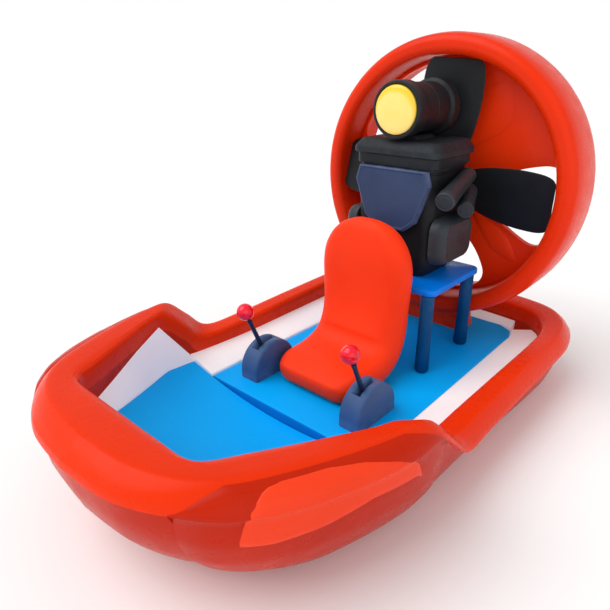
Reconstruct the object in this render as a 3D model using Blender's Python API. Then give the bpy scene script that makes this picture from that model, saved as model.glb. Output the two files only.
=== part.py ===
"""Small one-seat airboat: moulded red hull, blue decks, bucket seat, engine table, ducted propeller.

Metres, +Z up, bow toward -Y, port toward +X. The flat bottom stands on z = 0.
"""

import math

import bmesh
import bpy
from mathutils import Vector

for old in list(bpy.data.objects):
    bpy.data.objects.remove(old, do_unlink=True)

# Gap between pieces that touch
GAP = 0.0004

# Hull and decks
DECK_Z = 0.204
DECK_FRONT = -0.43
WELL_Z = 0.110
CREASE_DROP = 0.105

# Control levers
BOX_X = 0.337
BOX_Y = -0.180
BOX_R = 0.148
BOX_THICK = 0.122
BOX_FOOT = 0.044
LEVER_LEAN = math.radians(23.5)
LEVER_LENGTH = 0.367
PIVOT_Z = DECK_Z + 0.060
KNOB_R = 0.0440

# Engine table
TABLE_Z = 0.687
TABLE_THICK = 0.035
TABLE_HALF = 0.350
TABLE_FRONT = 0.335
TABLE_REAR = 0.868
LEG_X = 0.308
LEG_R = 0.039
LEG_FRONT = 0.362
LEG_REAR = 0.803

# Engine
ENGINE_HALF = 0.235
ENGINE_FRONT = 0.450
ENGINE_REAR = 0.820
ENGINE_TOP = 1.270

# Lamp
LAMP_Z = 1.544
LAMP_FRONT = 0.430
LAMP_R = 0.140
LAMP_BARREL_R = 0.128

# Duct and propeller
DUCT_Z = 1.115
DUCT_OUTER = 0.800
DUCT_INNER = 0.685
DUCT_FRONT = 0.850
DUCT_REAR = 1.225
PROP_Y = 0.930
PROP_R = 0.672
PROP_TURN = math.radians(4)
HUB_R = 0.080
STATOR_Y = 1.060


def material(name, colour, rough=0.4, metal=0.0):
    made = bpy.data.materials.new(name)
    made.use_nodes = True
    shader = made.node_tree.nodes["Principled BSDF"]
    shader.inputs["Base Color"].default_value = (*colour, 1.0)
    shader.inputs["Roughness"].default_value = rough
    shader.inputs["Metallic"].default_value = metal
    return made


HULL = material("hull_red", (0.87, 0.05, 0.015), 0.25)
DECK = material("deck_blue", (0.0, 0.34, 1.0), 0.35)
LINER = material("liner_white", (0.95, 0.92, 0.93), 0.4)
SEAT = material("seat_orange", (1.0, 0.06, 0.02), 0.45)
TABLE = material("table_blue", (0.0, 0.19, 0.8), 0.35)
LEG = material("leg_navy", (0.0, 0.05, 0.16), 0.4)
SLATE = material("box_slate", (0.05, 0.11, 0.24), 0.45)
STICK = material("stick_navy", (0.015, 0.03, 0.08), 0.4)
KNOB = material("knob_red", (1.0, 0.006, 0.03), 0.2)
BLACK = material("engine_black", (0.012, 0.014, 0.017), 0.4)
PANEL = material("panel_blue_grey", (0.05, 0.08, 0.16), 0.4)
LENS = material("lens_yellow", (1.0, 0.8, 0.25), 0.15)
BLADE = material("blade_black", (0.013, 0.015, 0.018), 0.35)


def solid(name, points, faces, look, smooth=True, at=(0, 0, 0), parent=None):
    """A closed triangle mesh, its normals turned outward, in its own axes."""
    mesh = bpy.data.meshes.new(name)
    mesh.from_pydata([tuple(p) for p in points], [], faces)
    work = bmesh.new()
    work.from_mesh(mesh)
    bmesh.ops.remove_doubles(work, verts=work.verts, dist=1e-6)
    bmesh.ops.recalc_face_normals(work, faces=work.faces)
    if work.calc_volume(signed=True) < 0:
        bmesh.ops.reverse_faces(work, faces=work.faces)
    bmesh.ops.triangulate(work, faces=[f for f in work.faces if len(f.verts) > 3],
                          quad_method="FIXED")
    work.to_mesh(mesh)
    work.free()
    mesh.materials.append(look)
    for face in mesh.polygons:
        face.use_smooth = smooth
    made = bpy.data.objects.new(name, mesh)
    made.location = at
    made.parent = parent
    bpy.context.collection.objects.link(made)
    return made


def loft(name, rings, look, closed=False, strips=False, **more):
    """Skins rings of equal length. An open loft's end rings get a fan from their middle, or
    strips from side to side, for rings that are mirror images about x = 0."""
    count = len(rings[0])
    points = [Vector(p) for ring in rings for p in ring]
    faces = []
    for i in range(len(rings) if closed else len(rings) - 1):
        a = i * count
        b = (i + 1) % len(rings) * count
        for j in range(count):
            k = (j + 1) % count
            faces.append((a + j, a + k, b + k, b + j))
    for start in () if closed else (0, (len(rings) - 1) * count):
        if strips:
            for j in range(count // 2):
                corners = (j, j + 1, count - j - 1, (count - j) % count)
                faces.append(tuple(start + c for c in dict.fromkeys(corners)))
            continue
        ends = points[start:start + count]
        middle = len(points)
        points.append(sum(ends, Vector()) / count)
        for j in range(count):
            faces.append((start + j, start + (j + 1) % count, middle))
    return solid(name, points, faces, look, **more)


def circle(y, z, radius, count, x=0.0):
    """A circle of points that faces along Y."""
    ring = []
    for i in range(count):
        turn = 2 * math.pi * i / count
        ring.append((x + radius * math.cos(turn), y, z + radius * math.sin(turn)))
    return ring


def tube(name, start, end, profile, look, count=16, **more):
    """A round solid from start to end. profile holds (share of the length, radius)."""
    start = Vector(start)
    end = Vector(end)
    axis = (end - start).normalized()
    side = axis.orthogonal().normalized()
    other = axis.cross(side)
    rings = []
    for share, radius in profile:
        centre = start.lerp(end, share)
        ring = []
        for i in range(count):
            turn = 2 * math.pi * i / count
            ring.append(centre + radius * (math.cos(turn) * side + math.sin(turn) * other))
        rings.append(ring)
    return loft(name, rings, look, **more)


def rounded(half_x, half_y, radius, steps=3):
    """The corner points of a rounded rectangle, in its own plane."""
    points = []
    for quarter, (sx, sy) in enumerate(((1, 1), (-1, 1), (-1, -1), (1, -1))):
        for i in range(steps + 1):
            turn = math.pi / 2 * (quarter + i / steps)
            px = sx * (half_x - radius) + radius * math.cos(turn)
            py = sy * (half_y - radius) + radius * math.sin(turn)
            points.append((px, py))
    return points


def block(name, outline, levels, look, **more):
    """Stacks a plan outline. levels holds (z, scale in x, scale in y, shift in y)."""
    rings = []
    for z, sx, sy, dy in levels:
        rings.append([(x * sx, y * sy + dy, z) for x, y in outline])
    return loft(name, rings, look, **more)


def cutter(made):
    """Keeps a solid out of the render and out of the nodes, for cutting."""
    if "cutters" not in bpy.data.collections:
        store = bpy.data.collections.new("cutters")
        bpy.context.scene.collection.children.link(store)
    bpy.context.collection.objects.unlink(made)
    bpy.data.collections["cutters"].objects.link(made)
    made.hide_render = True
    made.display_type = "WIRE"
    return made


def boolean(target, tool, operation="DIFFERENCE"):
    step = target.modifiers.new(operation.lower(), "BOOLEAN")
    step.operation = operation
    step.solver = "EXACT"
    step.object = tool
    return target


def mix(a, b, share):
    return a + (b - a) * share


def smooth_rows(table, steps):
    """A table with steps rows for each of its own, on a smooth curve through every column."""
    out = []
    last = len(table) - 1
    for i in range(last):
        before = table[max(i - 1, 0)]
        here = table[i]
        there = table[i + 1]
        after = table[min(i + 2, last)]
        for step in range(steps):
            t = step / steps
            row = []
            for p0, p1, p2, p3 in zip(before, here, there, after):
                row.append(0.5 * (2 * p1 + (p2 - p0) * t + (2 * p0 - 5 * p1 + 4 * p2 - p3) * t * t
                                  + (3 * p1 - p0 - 3 * p2 + p3) * t ** 3))
            out.append(tuple(row))
    out.append(tuple(table[last]))
    return out


# Hull outlines on the port side from the bow to the stern: the coaming's inner lip, its outer
# rim, the flat bottom's edge, and the height of the coaming's top
# lip x, lip y, rim x, rim y, keel x, keel y, top z
HULL_TABLE = (
    (0.000, -1.200, 0.000, -1.460, 0.000, -1.075, 0.610),
    (0.200, -1.200, 0.250, -1.435, 0.170, -1.050, 0.610),
    (0.340, -1.198, 0.450, -1.350, 0.310, -0.975, 0.610),
    (0.400, -1.165, 0.600, -1.220, 0.450, -0.900, 0.608),
    (0.450, -1.075, 0.710, -1.035, 0.552, -0.780, 0.602),
    (0.575, -0.850, 0.795, -0.800, 0.610, -0.610, 0.592),
    (0.675, -0.655, 0.842, -0.590, 0.652, -0.450, 0.582),
    (0.706, -0.560, 0.858, -0.430, 0.664, -0.330, 0.566),
    (0.705, -0.450, 0.860, -0.310, 0.668, -0.240, 0.465),
    (0.700, -0.335, 0.858, -0.170, 0.672, -0.140, 0.352),
    (0.698, 0.000, 0.854, 0.060, 0.680, 0.060, 0.343),
    (0.705, 0.400, 0.858, 0.420, 0.705, 0.420, 0.350),
    (0.712, 0.800, 0.862, 0.800, 0.730, 0.800, 0.356),
    (0.702, 0.990, 0.855, 1.040, 0.732, 1.020, 0.360),
    (0.640, 1.140, 0.790, 1.250, 0.690, 1.190, 0.364),
    (0.510, 1.225, 0.640, 1.390, 0.570, 1.310, 0.366),
    (0.260, 1.250, 0.330, 1.450, 0.290, 1.368, 0.366),
    (0.000, 1.250, 0.000, 1.460, 0.000, 1.380, 0.366),
)
ROWS = smooth_rows(HULL_TABLE, 2)
COLUMNS = {"lip": 0, "rim": 2, "keel": 4}


def between(row, a, b, share, z):
    """A point of a row at height z, a share of the way from outline a to outline b."""
    i = COLUMNS[a]
    j = COLUMNS[b]
    return Vector((mix(row[i], row[j], share), mix(row[i + 1], row[j + 1], share), z))


def well(y):
    """The height of the hull's inner floor, which rises toward the bow."""
    return WELL_Z + 0.25 * max(0.0, -0.80 - y)


def under(y):
    """The underside of what stands on the inner floor."""
    return well(y) + GAP + (0.008 if y < -0.70 else 0.0)


def round_boat(make):
    """A ring round the whole boat from make(row): the port rows, then their mirror image."""
    port = [make(row) for row in ROWS]
    starboard = [Vector((-p.x, p.y, p.z)) for p in port[-2:0:-1]]
    return port + starboard


# Levels of the lower hull's outer face, as shares of its crease's height
LEVELS = (0.0, 0.09, 0.22, 0.42, 0.64, 0.84, 1.0)

# Flare of the outer face: height above the bottom, share of the way from keel to rim
FLARE = (
    (0.000, 0.000),
    (0.010, 0.140),
    (0.040, 0.280),
    (0.100, 0.450),
    (0.200, 0.690),
    (0.300, 0.850),
    (0.400, 0.925),
    (0.700, 0.985),
)


def hull_skin(row, level):
    """The lower hull's outer face at a share of its crease's height."""
    height = level * (row[6] - CREASE_DROP)
    for (low, a), (high, b) in zip(FLARE, FLARE[1:]):
        if height <= high:
            break
    return between(row, "keel", "rim", mix(a, b, (height - low) / (high - low)), height)


outside = [round_boat(lambda row, level=level: hull_skin(row, level)) for level in LEVELS]
inside = [
    round_boat(lambda row: between(row, "lip", "rim", 0, row[6] - CREASE_DROP)),
    round_boat(lambda row: between(row, "lip", "rim", 0, well(row[1]))),
]
loft("hull_lower", outside + inside, HULL, strips=True)


# Coaming and gunwale rim, one moulding round the boat on the hull's top edge
# share of the way from lip to rim, drop from the top
RIM_SECTION = (
    (1.00, 0.088),
    (0.97, 0.062),
    (0.84, 0.028),
    (0.68, 0.003),
    (0.60, 0.000),
    (0.24, 0.004),
    (0.06, 0.014),
    (0.00, 0.036),
)
joint = [
    round_boat(lambda row: hull_skin(row, 1.0) + Vector((0, 0, GAP))),
    round_boat(lambda row: between(row, "lip", "rim", 0, row[6] - CREASE_DROP + GAP)),
]
over = [round_boat(lambda row, s=s, d=d: between(row, "lip", "rim", s, row[6] - d)) for s, d in RIM_SECTION]
loft("coaming_rim", [joint[0], joint[1]] + over[::-1], HULL, closed=True)


# Bow floor, dished and rising toward the bow
# y, half width, middle z, edge z
FLOOR_TABLE = (
    (-1.160, 0.325, 0.320, 0.370),
    (-1.000, 0.430, 0.250, 0.330),
    (-0.800, 0.545, 0.192, 0.290),
    (-0.600, 0.650, 0.162, 0.260),
    (-0.435, 0.662, 0.152, 0.240),
)
rings = []
for y, half, middle, edge in FLOOR_TABLE:
    top = [(half * share, y, mix(middle, edge, share * share))
           for share in (-1.0, -0.75, -0.5, -0.25, 0.0, 0.25, 0.5, 0.75, 1.0)]
    rings.append(top + [(half, y, under(y)), (-half, y, under(y))])
loft("bow_floor", rings, DECK)


# Rear deck with its step face at the front
DECK_TABLE = (
    # y, half width
    (DECK_FRONT, 0.518),
    (0.400, 0.510),
    (1.080, 0.500),
    (1.165, 0.470),
    (1.205, 0.400),
)
rings = []
for y, half in DECK_TABLE:
    rings.append([
        (half, y, DECK_Z - 0.006),
        (half - 0.006, y, DECK_Z),
        (0.0, y, DECK_Z),
        (-half + 0.006, y, DECK_Z),
        (-half, y, DECK_Z - 0.006),
        (-half, y, WELL_Z + GAP),
        (half, y, WELL_Z + GAP),
    ])
loft("rear_deck", rings, DECK)


# White liner panels, each a sloping strip between the deck or floor and the hull's wall
# y, inner x, inner z, outer x, outer z
SIDE_LINER = (
    (-0.430, 0.5225, 0.212, 0.684, 0.268),
    (-0.310, 0.5215, 0.212, 0.682, 0.260),
    (0.000, 0.5195, 0.212, 0.683, 0.250),
    (0.400, 0.5145, 0.212, 0.695, 0.250),
    (0.800, 0.5085, 0.212, 0.702, 0.250),
    (0.990, 0.5060, 0.212, 0.688, 0.250),
    (1.075, 0.5050, 0.212, 0.660, 0.250),
)
BOW_LINER = (
    (-1.155, 0.332, 0.372, 0.378, 0.430),
    (-1.000, 0.434, 0.332, 0.470, 0.440),
    (-0.800, 0.549, 0.292, 0.580, 0.474),
    (-0.615, 0.650, 0.264, 0.676, 0.508),
    (-0.436, 0.667, 0.242, 0.686, 0.272),
)
for name, table in (("liner_side", SIDE_LINER), ("liner_bow", BOW_LINER)):
    for side, word in ((1, "port"), (-1, "starboard")):
        rings = []
        for y, inner_x, inner_z, outer_x, outer_z in table:
            rings.append([
                (side * inner_x, y, inner_z),
                (side * outer_x, y, outer_z),
                (side * outer_x, y, under(y)),
                (side * inner_x, y, under(y)),
            ])
        loft(f"{name}_{word}", rings, LINER, smooth=False)

# Stern liner between the deck's aft edge and the stern wall
rings = []
for x, front, back in ((-0.470, 1.173, 1.225), (-0.405, 1.209, 1.232), (0.405, 1.209, 1.232), (0.470, 1.173, 1.225)):
    rings.append([(x, front, 0.212), (x, back, 0.250), (x, back, WELL_Z + GAP), (x, front, WELL_Z + GAP)])
loft("liner_stern", rings, LINER, smooth=False)


# Bow cheeks, raised panels from the coaming's ridge to the hull's bottom, over FIRST to LAST
# of ROWS
CHEEK_FIRST = 4
CHEEK_LAST = 15
CHEEK_SECTION = (
    # way up the side: 0 to 1 is the hull's skin, 1 to 2 the rim's outer face, thickness
    (0.14, 0.001),
    (0.28, 0.014),
    (0.54, 0.024),
    (0.80, 0.026),
    (1.00, 0.024),
    (1.30, 0.018),
    (1.65, 0.012),
    (1.92, 0.001),
)
# The rim's outer face: way up from the crease, share from lip to rim, drop from the top, tilt
RIM_FACE = (
    (1.00, 0.985, CREASE_DROP, 0),
    (1.15, 1.00, 0.088, 10),
    (1.40, 0.97, 0.062, 35),
    (1.70, 0.84, 0.028, 50),
    (2.00, 0.68, 0.003, 60),
)
# A cheek's end rows: share of its thickness, share of its height
CHEEK_ENDS = (
    (0.12, 0.62),
    (0.75, 0.84),
    (1.00, 1.00),
)


def outward_at(index):
    """The level direction away from the boat at one of ROWS."""
    ahead = Vector(ROWS[max(index - 1, 0)][2:4])
    behind = Vector(ROWS[min(index + 1, len(ROWS) - 1)][2:4])
    along = (behind - ahead).normalized()
    return Vector((along.y, -along.x, 0.0))


def side_face(index, way):
    """A point of the boat's side, and the way out from it."""
    row = ROWS[index]
    level = outward_at(index)
    if way <= 1.0:
        return hull_skin(row, way), level
    for low, high in zip(RIM_FACE, RIM_FACE[1:]):
        if way <= high[0]:
            break
    part = (way - low[0]) / (high[0] - low[0])
    share, drop, tilt = (mix(a, b, part) for a, b in zip(low[1:], high[1:]))
    tilt = math.radians(tilt)
    away = level * math.cos(tilt) + Vector((0.0, 0.0, math.sin(tilt)))
    return between(row, "lip", "rim", share, row[6] - drop), away


def grown(ring, amount):
    """A ring round the boat moved level and outward."""
    half = len(ROWS)
    out = []
    for i, p in enumerate(ring):
        index = i if i < half else 2 * half - 2 - i
        away = outward_at(index)
        if i >= half:
            away.x = -away.x
        out.append(p + away * amount)
    return out


# The boat's outside from the bottom to the coaming's flat top, a little grown
shell = [grown(ring, 0.0007) for ring in outside]
for share, drop in RIM_SECTION[:5]:
    drop += 0.0012 if drop > 0.07 else -0.0012
    ring = round_boat(lambda row, s=share, d=drop: between(row, "lip", "rim", s, row[6] - d))
    shell.append(grown(ring, 0.0014))
boat_form = cutter(loft("boat_form", shell, HULL, strips=True))
for side, word in ((1, "port"), (-1, "starboard")):
    rings = []
    for index in range(CHEEK_FIRST, CHEEK_LAST + 1):
        thin = CHEEK_ENDS[min(index - CHEEK_FIRST, CHEEK_LAST - index, 2)][0]
        reach = CHEEK_ENDS[min(index - CHEEK_FIRST, 2)][1]
        back = []
        face = []
        for way, thick in CHEEK_SECTION:
            skin, away = side_face(index, way * reach)
            back.append(skin - outward_at(index) * 0.020)
            face.append(skin + away * (0.0022 + thick * thin))
        rings.append([(side * p.x, p.y, p.z) for p in back + face[::-1]])
    boolean(loft(f"bow_cheek_{word}", rings, HULL), boat_form)


# Bucket seat, a loft of rounded sections along the cushion and up the back
# y, z, lean in degrees, half width, half thickness
SEAT_TABLE = (
    (-0.232, 0.262, 80, 0.140, 0.024),
    (-0.212, 0.266, 78, 0.214, 0.052),
    (-0.135, 0.278, 86, 0.262, 0.072),
    (-0.020, 0.284, 92, 0.266, 0.078),
    (0.080, 0.300, 80, 0.264, 0.092),
    (0.170, 0.345, 52, 0.260, 0.116),
    (0.222, 0.440, 18, 0.256, 0.118),
    (0.236, 0.560, 5, 0.258, 0.094),
    (0.238, 0.680, 1, 0.266, 0.082),
    (0.238, 0.790, -2, 0.268, 0.078),
    (0.236, 0.875, -3, 0.250, 0.073),
    (0.234, 0.945, -4, 0.210, 0.064),
    (0.231, 0.995, -5, 0.155, 0.050),
    (0.229, 1.024, -5, 0.090, 0.030),
    (0.228, 1.036, -5, 0.040, 0.012),
)
rings = []
for y, z, lean, half, thick in SEAT_TABLE:
    tilt = math.radians(lean)
    flat = rounded(half, thick, thick * 0.98, 3)
    rings.append([(u, y - v * math.cos(tilt), z + v * math.sin(tilt)) for u, v in flat])
lift = DECK_Z + GAP - min(p[2] for ring in rings for p in ring)
rings = [[(x, y, z + lift) for x, y, z in ring] for ring in rings]
loft("seat_bucket", rings, SEAT)


# Control levers, one each side: quadrant box, stick on its pivot, ball knob
for side, word in ((1, "port"), (-1, "starboard")):
    profile = [(-BOX_R, 0.0), (BOX_R, 0.0)]
    for i in range(15):
        turn = math.pi * i / 14
        profile.append((BOX_R * math.cos(turn), BOX_FOOT + BOX_R * math.sin(turn)))
    rings = []
    for x, scale in ((-0.50, 0.93), (-0.44, 0.985), (-0.36, 1.0), (0.36, 1.0), (0.44, 0.985), (0.50, 0.93)):
        centre = side * BOX_X + x * BOX_THICK
        rings.append([(centre, BOX_Y + py * scale, DECK_Z + GAP + pz * scale) for py, pz in profile])
    box = loft(f"lever_box_{word}", rings, SLATE)
    slot = cutter(block(
        f"slot_{word}",
        rounded(0.0190, 0.070, 0.006, 1),
        ((PIVOT_Z - 0.025, 1, 1, BOX_Y - 0.020), (DECK_Z + 0.20, 1, 1, BOX_Y - 0.020)),
        SLATE, at=(side * BOX_X, 0, 0)))
    boolean(box, slot)
    tilt = Vector((0.0, -math.sin(LEVER_LEAN), math.cos(LEVER_LEAN)))
    pivot = Vector((side * BOX_X, BOX_Y, PIVOT_Z))
    stick = tube(f"lever_stick_{word}", tilt * -0.012, tilt * (LEVER_LENGTH - KNOB_R * 0.96),
                 ((0, 0.008), (0.01, 0.0125), (0.6, 0.012), (0.99, 0.009), (1, 0.006)), STICK, 12,
                 at=pivot)
    boss = cutter(tube(f"lever_boss_{word}", (-0.0187, 0, 0), (0.0187, 0, 0),
                       ((0, 0.016), (1, 0.016)), STICK, 16, at=pivot))
    boolean(stick, boss, "UNION")
    rings = []
    for i in range(1, 12):
        turn = math.pi * i / 12
        height = -KNOB_R * math.cos(turn)
        r = KNOB_R * math.sin(turn)
        rings.append([(r * math.cos(2 * math.pi * j / 18), r * math.sin(2 * math.pi * j / 18), height)
                      for j in range(18)])
    ball = loft(f"lever_knob_{word}", rings, KNOB, at=pivot + tilt * (LEVER_LENGTH + 0.0006))
    ball.rotation_euler = (LEVER_LEAN, 0, 0)


# Engine table: a plate with bevelled edges on four round legs
middle = (TABLE_FRONT + TABLE_REAR) / 2
block("table_top", rounded(TABLE_HALF, (TABLE_REAR - TABLE_FRONT) / 2, 0.045, 3), (
    (TABLE_Z - TABLE_THICK, 0.985, 0.985, middle),
    (TABLE_Z - TABLE_THICK + 0.005, 1, 1, middle),
    (TABLE_Z - 0.007, 1, 1, middle),
    (TABLE_Z, 0.975, 0.975, middle)), TABLE)
for side, ship in ((1, "port"), (-1, "starboard")):
    for y, end in ((LEG_FRONT, "front"), (LEG_REAR, "rear")):
        tube(f"table_leg_{ship}_{end}", (side * LEG_X, y, DECK_Z + GAP),
             (side * LEG_X, y, TABLE_Z - TABLE_THICK - GAP),
             ((0, LEG_R * 0.80), (0.025, LEG_R), (0.5, LEG_R * 0.93), (1, LEG_R * 0.93)), LEG, 16)


# Engine: block, stepped top cover, shield shaped front panel, side covers, cylinders
base = TABLE_Z + GAP
engine_y = (ENGINE_FRONT + ENGINE_REAR) / 2
engine_half = (ENGINE_REAR - ENGINE_FRONT) / 2
block("engine_block", rounded(ENGINE_HALF, engine_half, 0.055, 3), (
    (base, 0.80, 0.84, engine_y),
    (base + 0.05, 0.93, 0.95, engine_y),
    (base + 0.12, 1.0, 1.0, engine_y),
    (ENGINE_TOP, 1.0, 1.0, engine_y)), BLACK)
block("engine_top_cover", rounded(0.250, engine_half + 0.015, 0.045, 3), (
    (ENGINE_TOP + GAP, 0.98, 0.98, engine_y),
    (ENGINE_TOP + 0.052, 0.98, 0.98, engine_y),
    (ENGINE_TOP + 0.054, 1.05, 1.04, engine_y),
    (ENGINE_TOP + 0.082, 1.05, 1.04, engine_y),
    (ENGINE_TOP + 0.125, 0.90, 0.90, engine_y + 0.008)), BLACK)

# half width, z
SHIELD = ((0.208, 1.262), (0.232, 1.190), (0.162, 0.995), (0.088, 0.938))
shape = list(SHIELD) + [(-x, z) for x, z in SHIELD[::-1]]
rings = []
for depth, scale in ((0.0004, 1.0), (0.020, 1.0), (0.028, 0.95)):
    rings.append([(x * scale, ENGINE_FRONT - depth, 1.12 + (z - 1.12) * scale) for x, z in shape])
loft("engine_front_panel", rings, PANEL, smooth=False)

# Two cylinders stand out of the port side alone
block_form = cutter(block("block_form", rounded(ENGINE_HALF + GAP, 0.40, 0.02, 2),
                          ((0.70, 1, 1, engine_y), (ENGINE_TOP - 0.01, 1, 1, engine_y)), BLACK))
# label, outer end, inner end, outer radius, inner radius
CYLINDERS = (
    ("front", (0.330, 0.400, 1.135), (0.270, 0.760, 1.218), 0.050, 0.042),
    ("rear", (0.372, 0.550, 1.075), (0.262, 0.790, 1.122), 0.043, 0.048),
)
for side, word in ((1, "port"), (-1, "starboard")):
    rings = []
    for share, scale in ((0.0, 1.0), (0.6, 0.96), (1.0, 0.78)):
        x = side * (ENGINE_HALF + GAP + 0.085 * share)
        rings.append([(x, 0.620 + u * scale, 0.895 + v * scale) for u, v in rounded(0.172, 0.125, 0.07, 3)])
    loft(f"engine_side_cover_{word}", rings, BLACK)
    for label, outer, inner, start, end in CYLINDERS if side > 0 else ():
        pipe = tube(f"engine_cylinder_{word}_{label}",
                    (side * outer[0], outer[1], outer[2]), (side * inner[0], inner[1], inner[2]),
                    ((0, start * 0.78), (0.05, start), (0.97, end), (1, end * 0.8)), BLACK, 18)
        boolean(pipe, block_form)


# Lamp on the engine's top: bracket, barrel with bezel and rear flange, lens
block("lamp_bracket", rounded(0.075, 0.085, 0.02, 2), (
    (ENGINE_TOP + 0.125 + GAP, 1, 1, 0.63),
    (LAMP_Z - LAMP_BARREL_R - 0.0006, 0.8, 0.96, 0.63)), BLACK, smooth=False)
BARREL = (
    # distance behind the front, radius
    (0.012, 0.120),
    (0.000, 0.124),
    (0.000, LAMP_R - 0.008),
    (0.012, LAMP_R),
    (0.085, LAMP_R),
    (0.100, LAMP_BARREL_R),
    (0.325, LAMP_BARREL_R),
    (0.338, LAMP_R + 0.006),
    (0.398, LAMP_R + 0.006),
    (0.418, LAMP_R - 0.020),
)
loft("lamp_barrel", [circle(LAMP_FRONT + y, LAMP_Z, r, 28) for y, r in BARREL], BLACK)
loft("lamp_lens", [circle(LAMP_FRONT + y, LAMP_Z, r, 28) for y, r in (
    (0.0115, 0.118), (-0.002, 0.118), (-0.012, 0.096), (-0.017, 0.045))], LENS)


# Propeller: hub with its shaft, and four wide paddle blades
hub = loft("propeller_hub", [circle(y, 0, r, 20) for y, r in (
    (ENGINE_REAR + 0.0005 - PROP_Y, 0.030), (-0.058, 0.030), (-0.054, HUB_R), (0.054, HUB_R),
    (0.084, 0.060), (0.098, 0.025))], BLADE, at=(0, PROP_Y, DUCT_Z))
hub_form = cutter(loft("hub_form", [circle(y, 0, HUB_R + GAP, 20) for y in (-0.09, 0.09)],
                       BLADE, at=(0, PROP_Y, DUCT_Z)))
BLADE_TABLE = (
    # radius, chord, twist in degrees, thickness
    (0.060, 0.110, 34, 0.036),
    (0.150, 0.215, 26, 0.032),
    (0.290, 0.300, 18, 0.026),
    (0.450, 0.340, 14, 0.020),
    (0.585, 0.335, 12, 0.015),
    (0.645, 0.305, 11, 0.011),
    (PROP_R, 0.235, 11, 0.007),
)
# share of the chord, share of the thickness
AIRFOIL = ((-0.5, 0.0), (-0.3, 0.42), (0.0, 0.5), (0.3, 0.38), (0.5, 0.0), (0.3, -0.30), (0.0, -0.40), (-0.3, -0.32))
for number in range(4):
    rings = []
    for radius, chord, twist, thick in BLADE_TABLE:
        pitch = math.radians(twist)
        ring = []
        for u, v in AIRFOIL:
            across = u * chord
            deep = v * thick
            ring.append((across * math.cos(pitch) - deep * math.sin(pitch),
                         across * math.sin(pitch) + deep * math.cos(pitch), radius))
        rings.append(ring)
    blade = loft(f"propeller_blade_{number + 1}", rings, BLADE, parent=hub)
    blade.rotation_euler = (0, math.pi / 2 * number + PROP_TURN, 0)
    boolean(blade, hub_form)


# Duct: ring with a thick rolled lip
# y, radius
DUCT_SECTION = (
    (DUCT_FRONT + 0.060, DUCT_INNER),
    (DUCT_FRONT + 0.022, DUCT_INNER + 0.008),
    (DUCT_FRONT + 0.003, DUCT_INNER + 0.030),
    (DUCT_FRONT, DUCT_INNER + 0.055),
    (DUCT_FRONT + 0.006, DUCT_OUTER - 0.034),
    (DUCT_FRONT + 0.032, DUCT_OUTER - 0.010),
    (DUCT_FRONT + 0.090, DUCT_OUTER),
    (DUCT_REAR - 0.110, DUCT_OUTER),
    (DUCT_REAR - 0.035, DUCT_OUTER - 0.016),
    (DUCT_REAR - 0.004, DUCT_OUTER - 0.048),
    (DUCT_REAR, DUCT_INNER + 0.030),
    (DUCT_REAR - 0.020, DUCT_INNER),
)
loft("duct_ring", [circle(y, DUCT_Z, r, 48) for y, r in DUCT_SECTION], HULL, closed=True)

# Stator, a plate of three wide petals with openings between them, seen from the bow
stator = loft("stator", [circle(y, DUCT_Z, DUCT_INNER - 0.0005, 48) for y in (STATOR_Y - 0.018, STATOR_Y + 0.018)],
              HULL, smooth=False)
# middle of the opening in degrees, half its spread
OPENINGS = (
    (-8, 22),
    (130, 34),
    (254, 46),
)
for number, (turn, spread) in enumerate(OPENINGS):
    edge = ((0.20, 0.45), (0.28, 0.80), (0.42, 0.98), (0.56, 1.0), (0.63, 0.94), (0.664, 0.80),
            (0.666, 0.54), (0.668, 0.27), (0.668, 0.0))
    loop = [(radius, math.radians(turn + spread * part)) for radius, part in edge]
    loop += [(radius, math.radians(turn - spread * part)) for radius, part in edge[-2::-1]]
    rings = []
    for y in (STATOR_Y - 0.03, STATOR_Y + 0.03):
        rings.append([(radius * math.cos(a), y, DUCT_Z + radius * math.sin(a)) for radius, a in loop])
    boolean(stator, cutter(loft(f"stator_opening_{number + 1}", rings, HULL)))

# Foot under the duct, on the rear deck, between the two flat levels of the ring
rings = []
for y in (DUCT_FRONT + 0.100, DUCT_REAR - 0.120):
    ring = []
    for step in (-2, -1, 0, 1, 2):
        turn = math.radians(7.5 * step)
        radius = DUCT_OUTER + 0.0006
        ring.append((radius * math.sin(turn), y, DUCT_Z - radius * math.cos(turn)))
    ring.append((0.24, y, DECK_Z + GAP))
    ring.append((-0.24, y, DECK_Z + GAP))
    rings.append(ring)
loft("duct_foot", rings, HULL, smooth=False)
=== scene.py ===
"""Looks of a small one-seat airboat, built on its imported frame. Metres, bow toward -Y, port +X."""

from math import copysign, cos, pi, radians, sin

import bmesh
import bpy
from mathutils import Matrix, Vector


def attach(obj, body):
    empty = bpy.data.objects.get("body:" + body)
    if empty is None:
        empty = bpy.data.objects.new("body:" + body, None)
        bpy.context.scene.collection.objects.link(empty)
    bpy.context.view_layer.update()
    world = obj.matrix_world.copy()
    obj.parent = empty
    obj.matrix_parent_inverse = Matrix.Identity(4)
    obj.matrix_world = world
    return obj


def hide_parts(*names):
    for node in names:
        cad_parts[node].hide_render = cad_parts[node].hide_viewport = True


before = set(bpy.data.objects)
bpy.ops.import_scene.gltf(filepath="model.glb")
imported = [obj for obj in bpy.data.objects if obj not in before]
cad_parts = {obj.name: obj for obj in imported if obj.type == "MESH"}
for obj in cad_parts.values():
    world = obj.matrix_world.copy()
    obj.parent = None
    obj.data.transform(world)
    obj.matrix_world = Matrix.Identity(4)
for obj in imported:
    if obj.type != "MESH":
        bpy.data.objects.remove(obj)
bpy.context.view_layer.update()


# Camera off the port bow, a little above a standing person's eyes, at the picture's own angle.
CAMERA_PLACE = (1.588, -1.981, 1.745)
CAMERA_AZIMUTH = 41.32
CAMERA_ELEVATION = 23.51
SENSOR_MM = 36.0
PICTURE = 610.0
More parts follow.
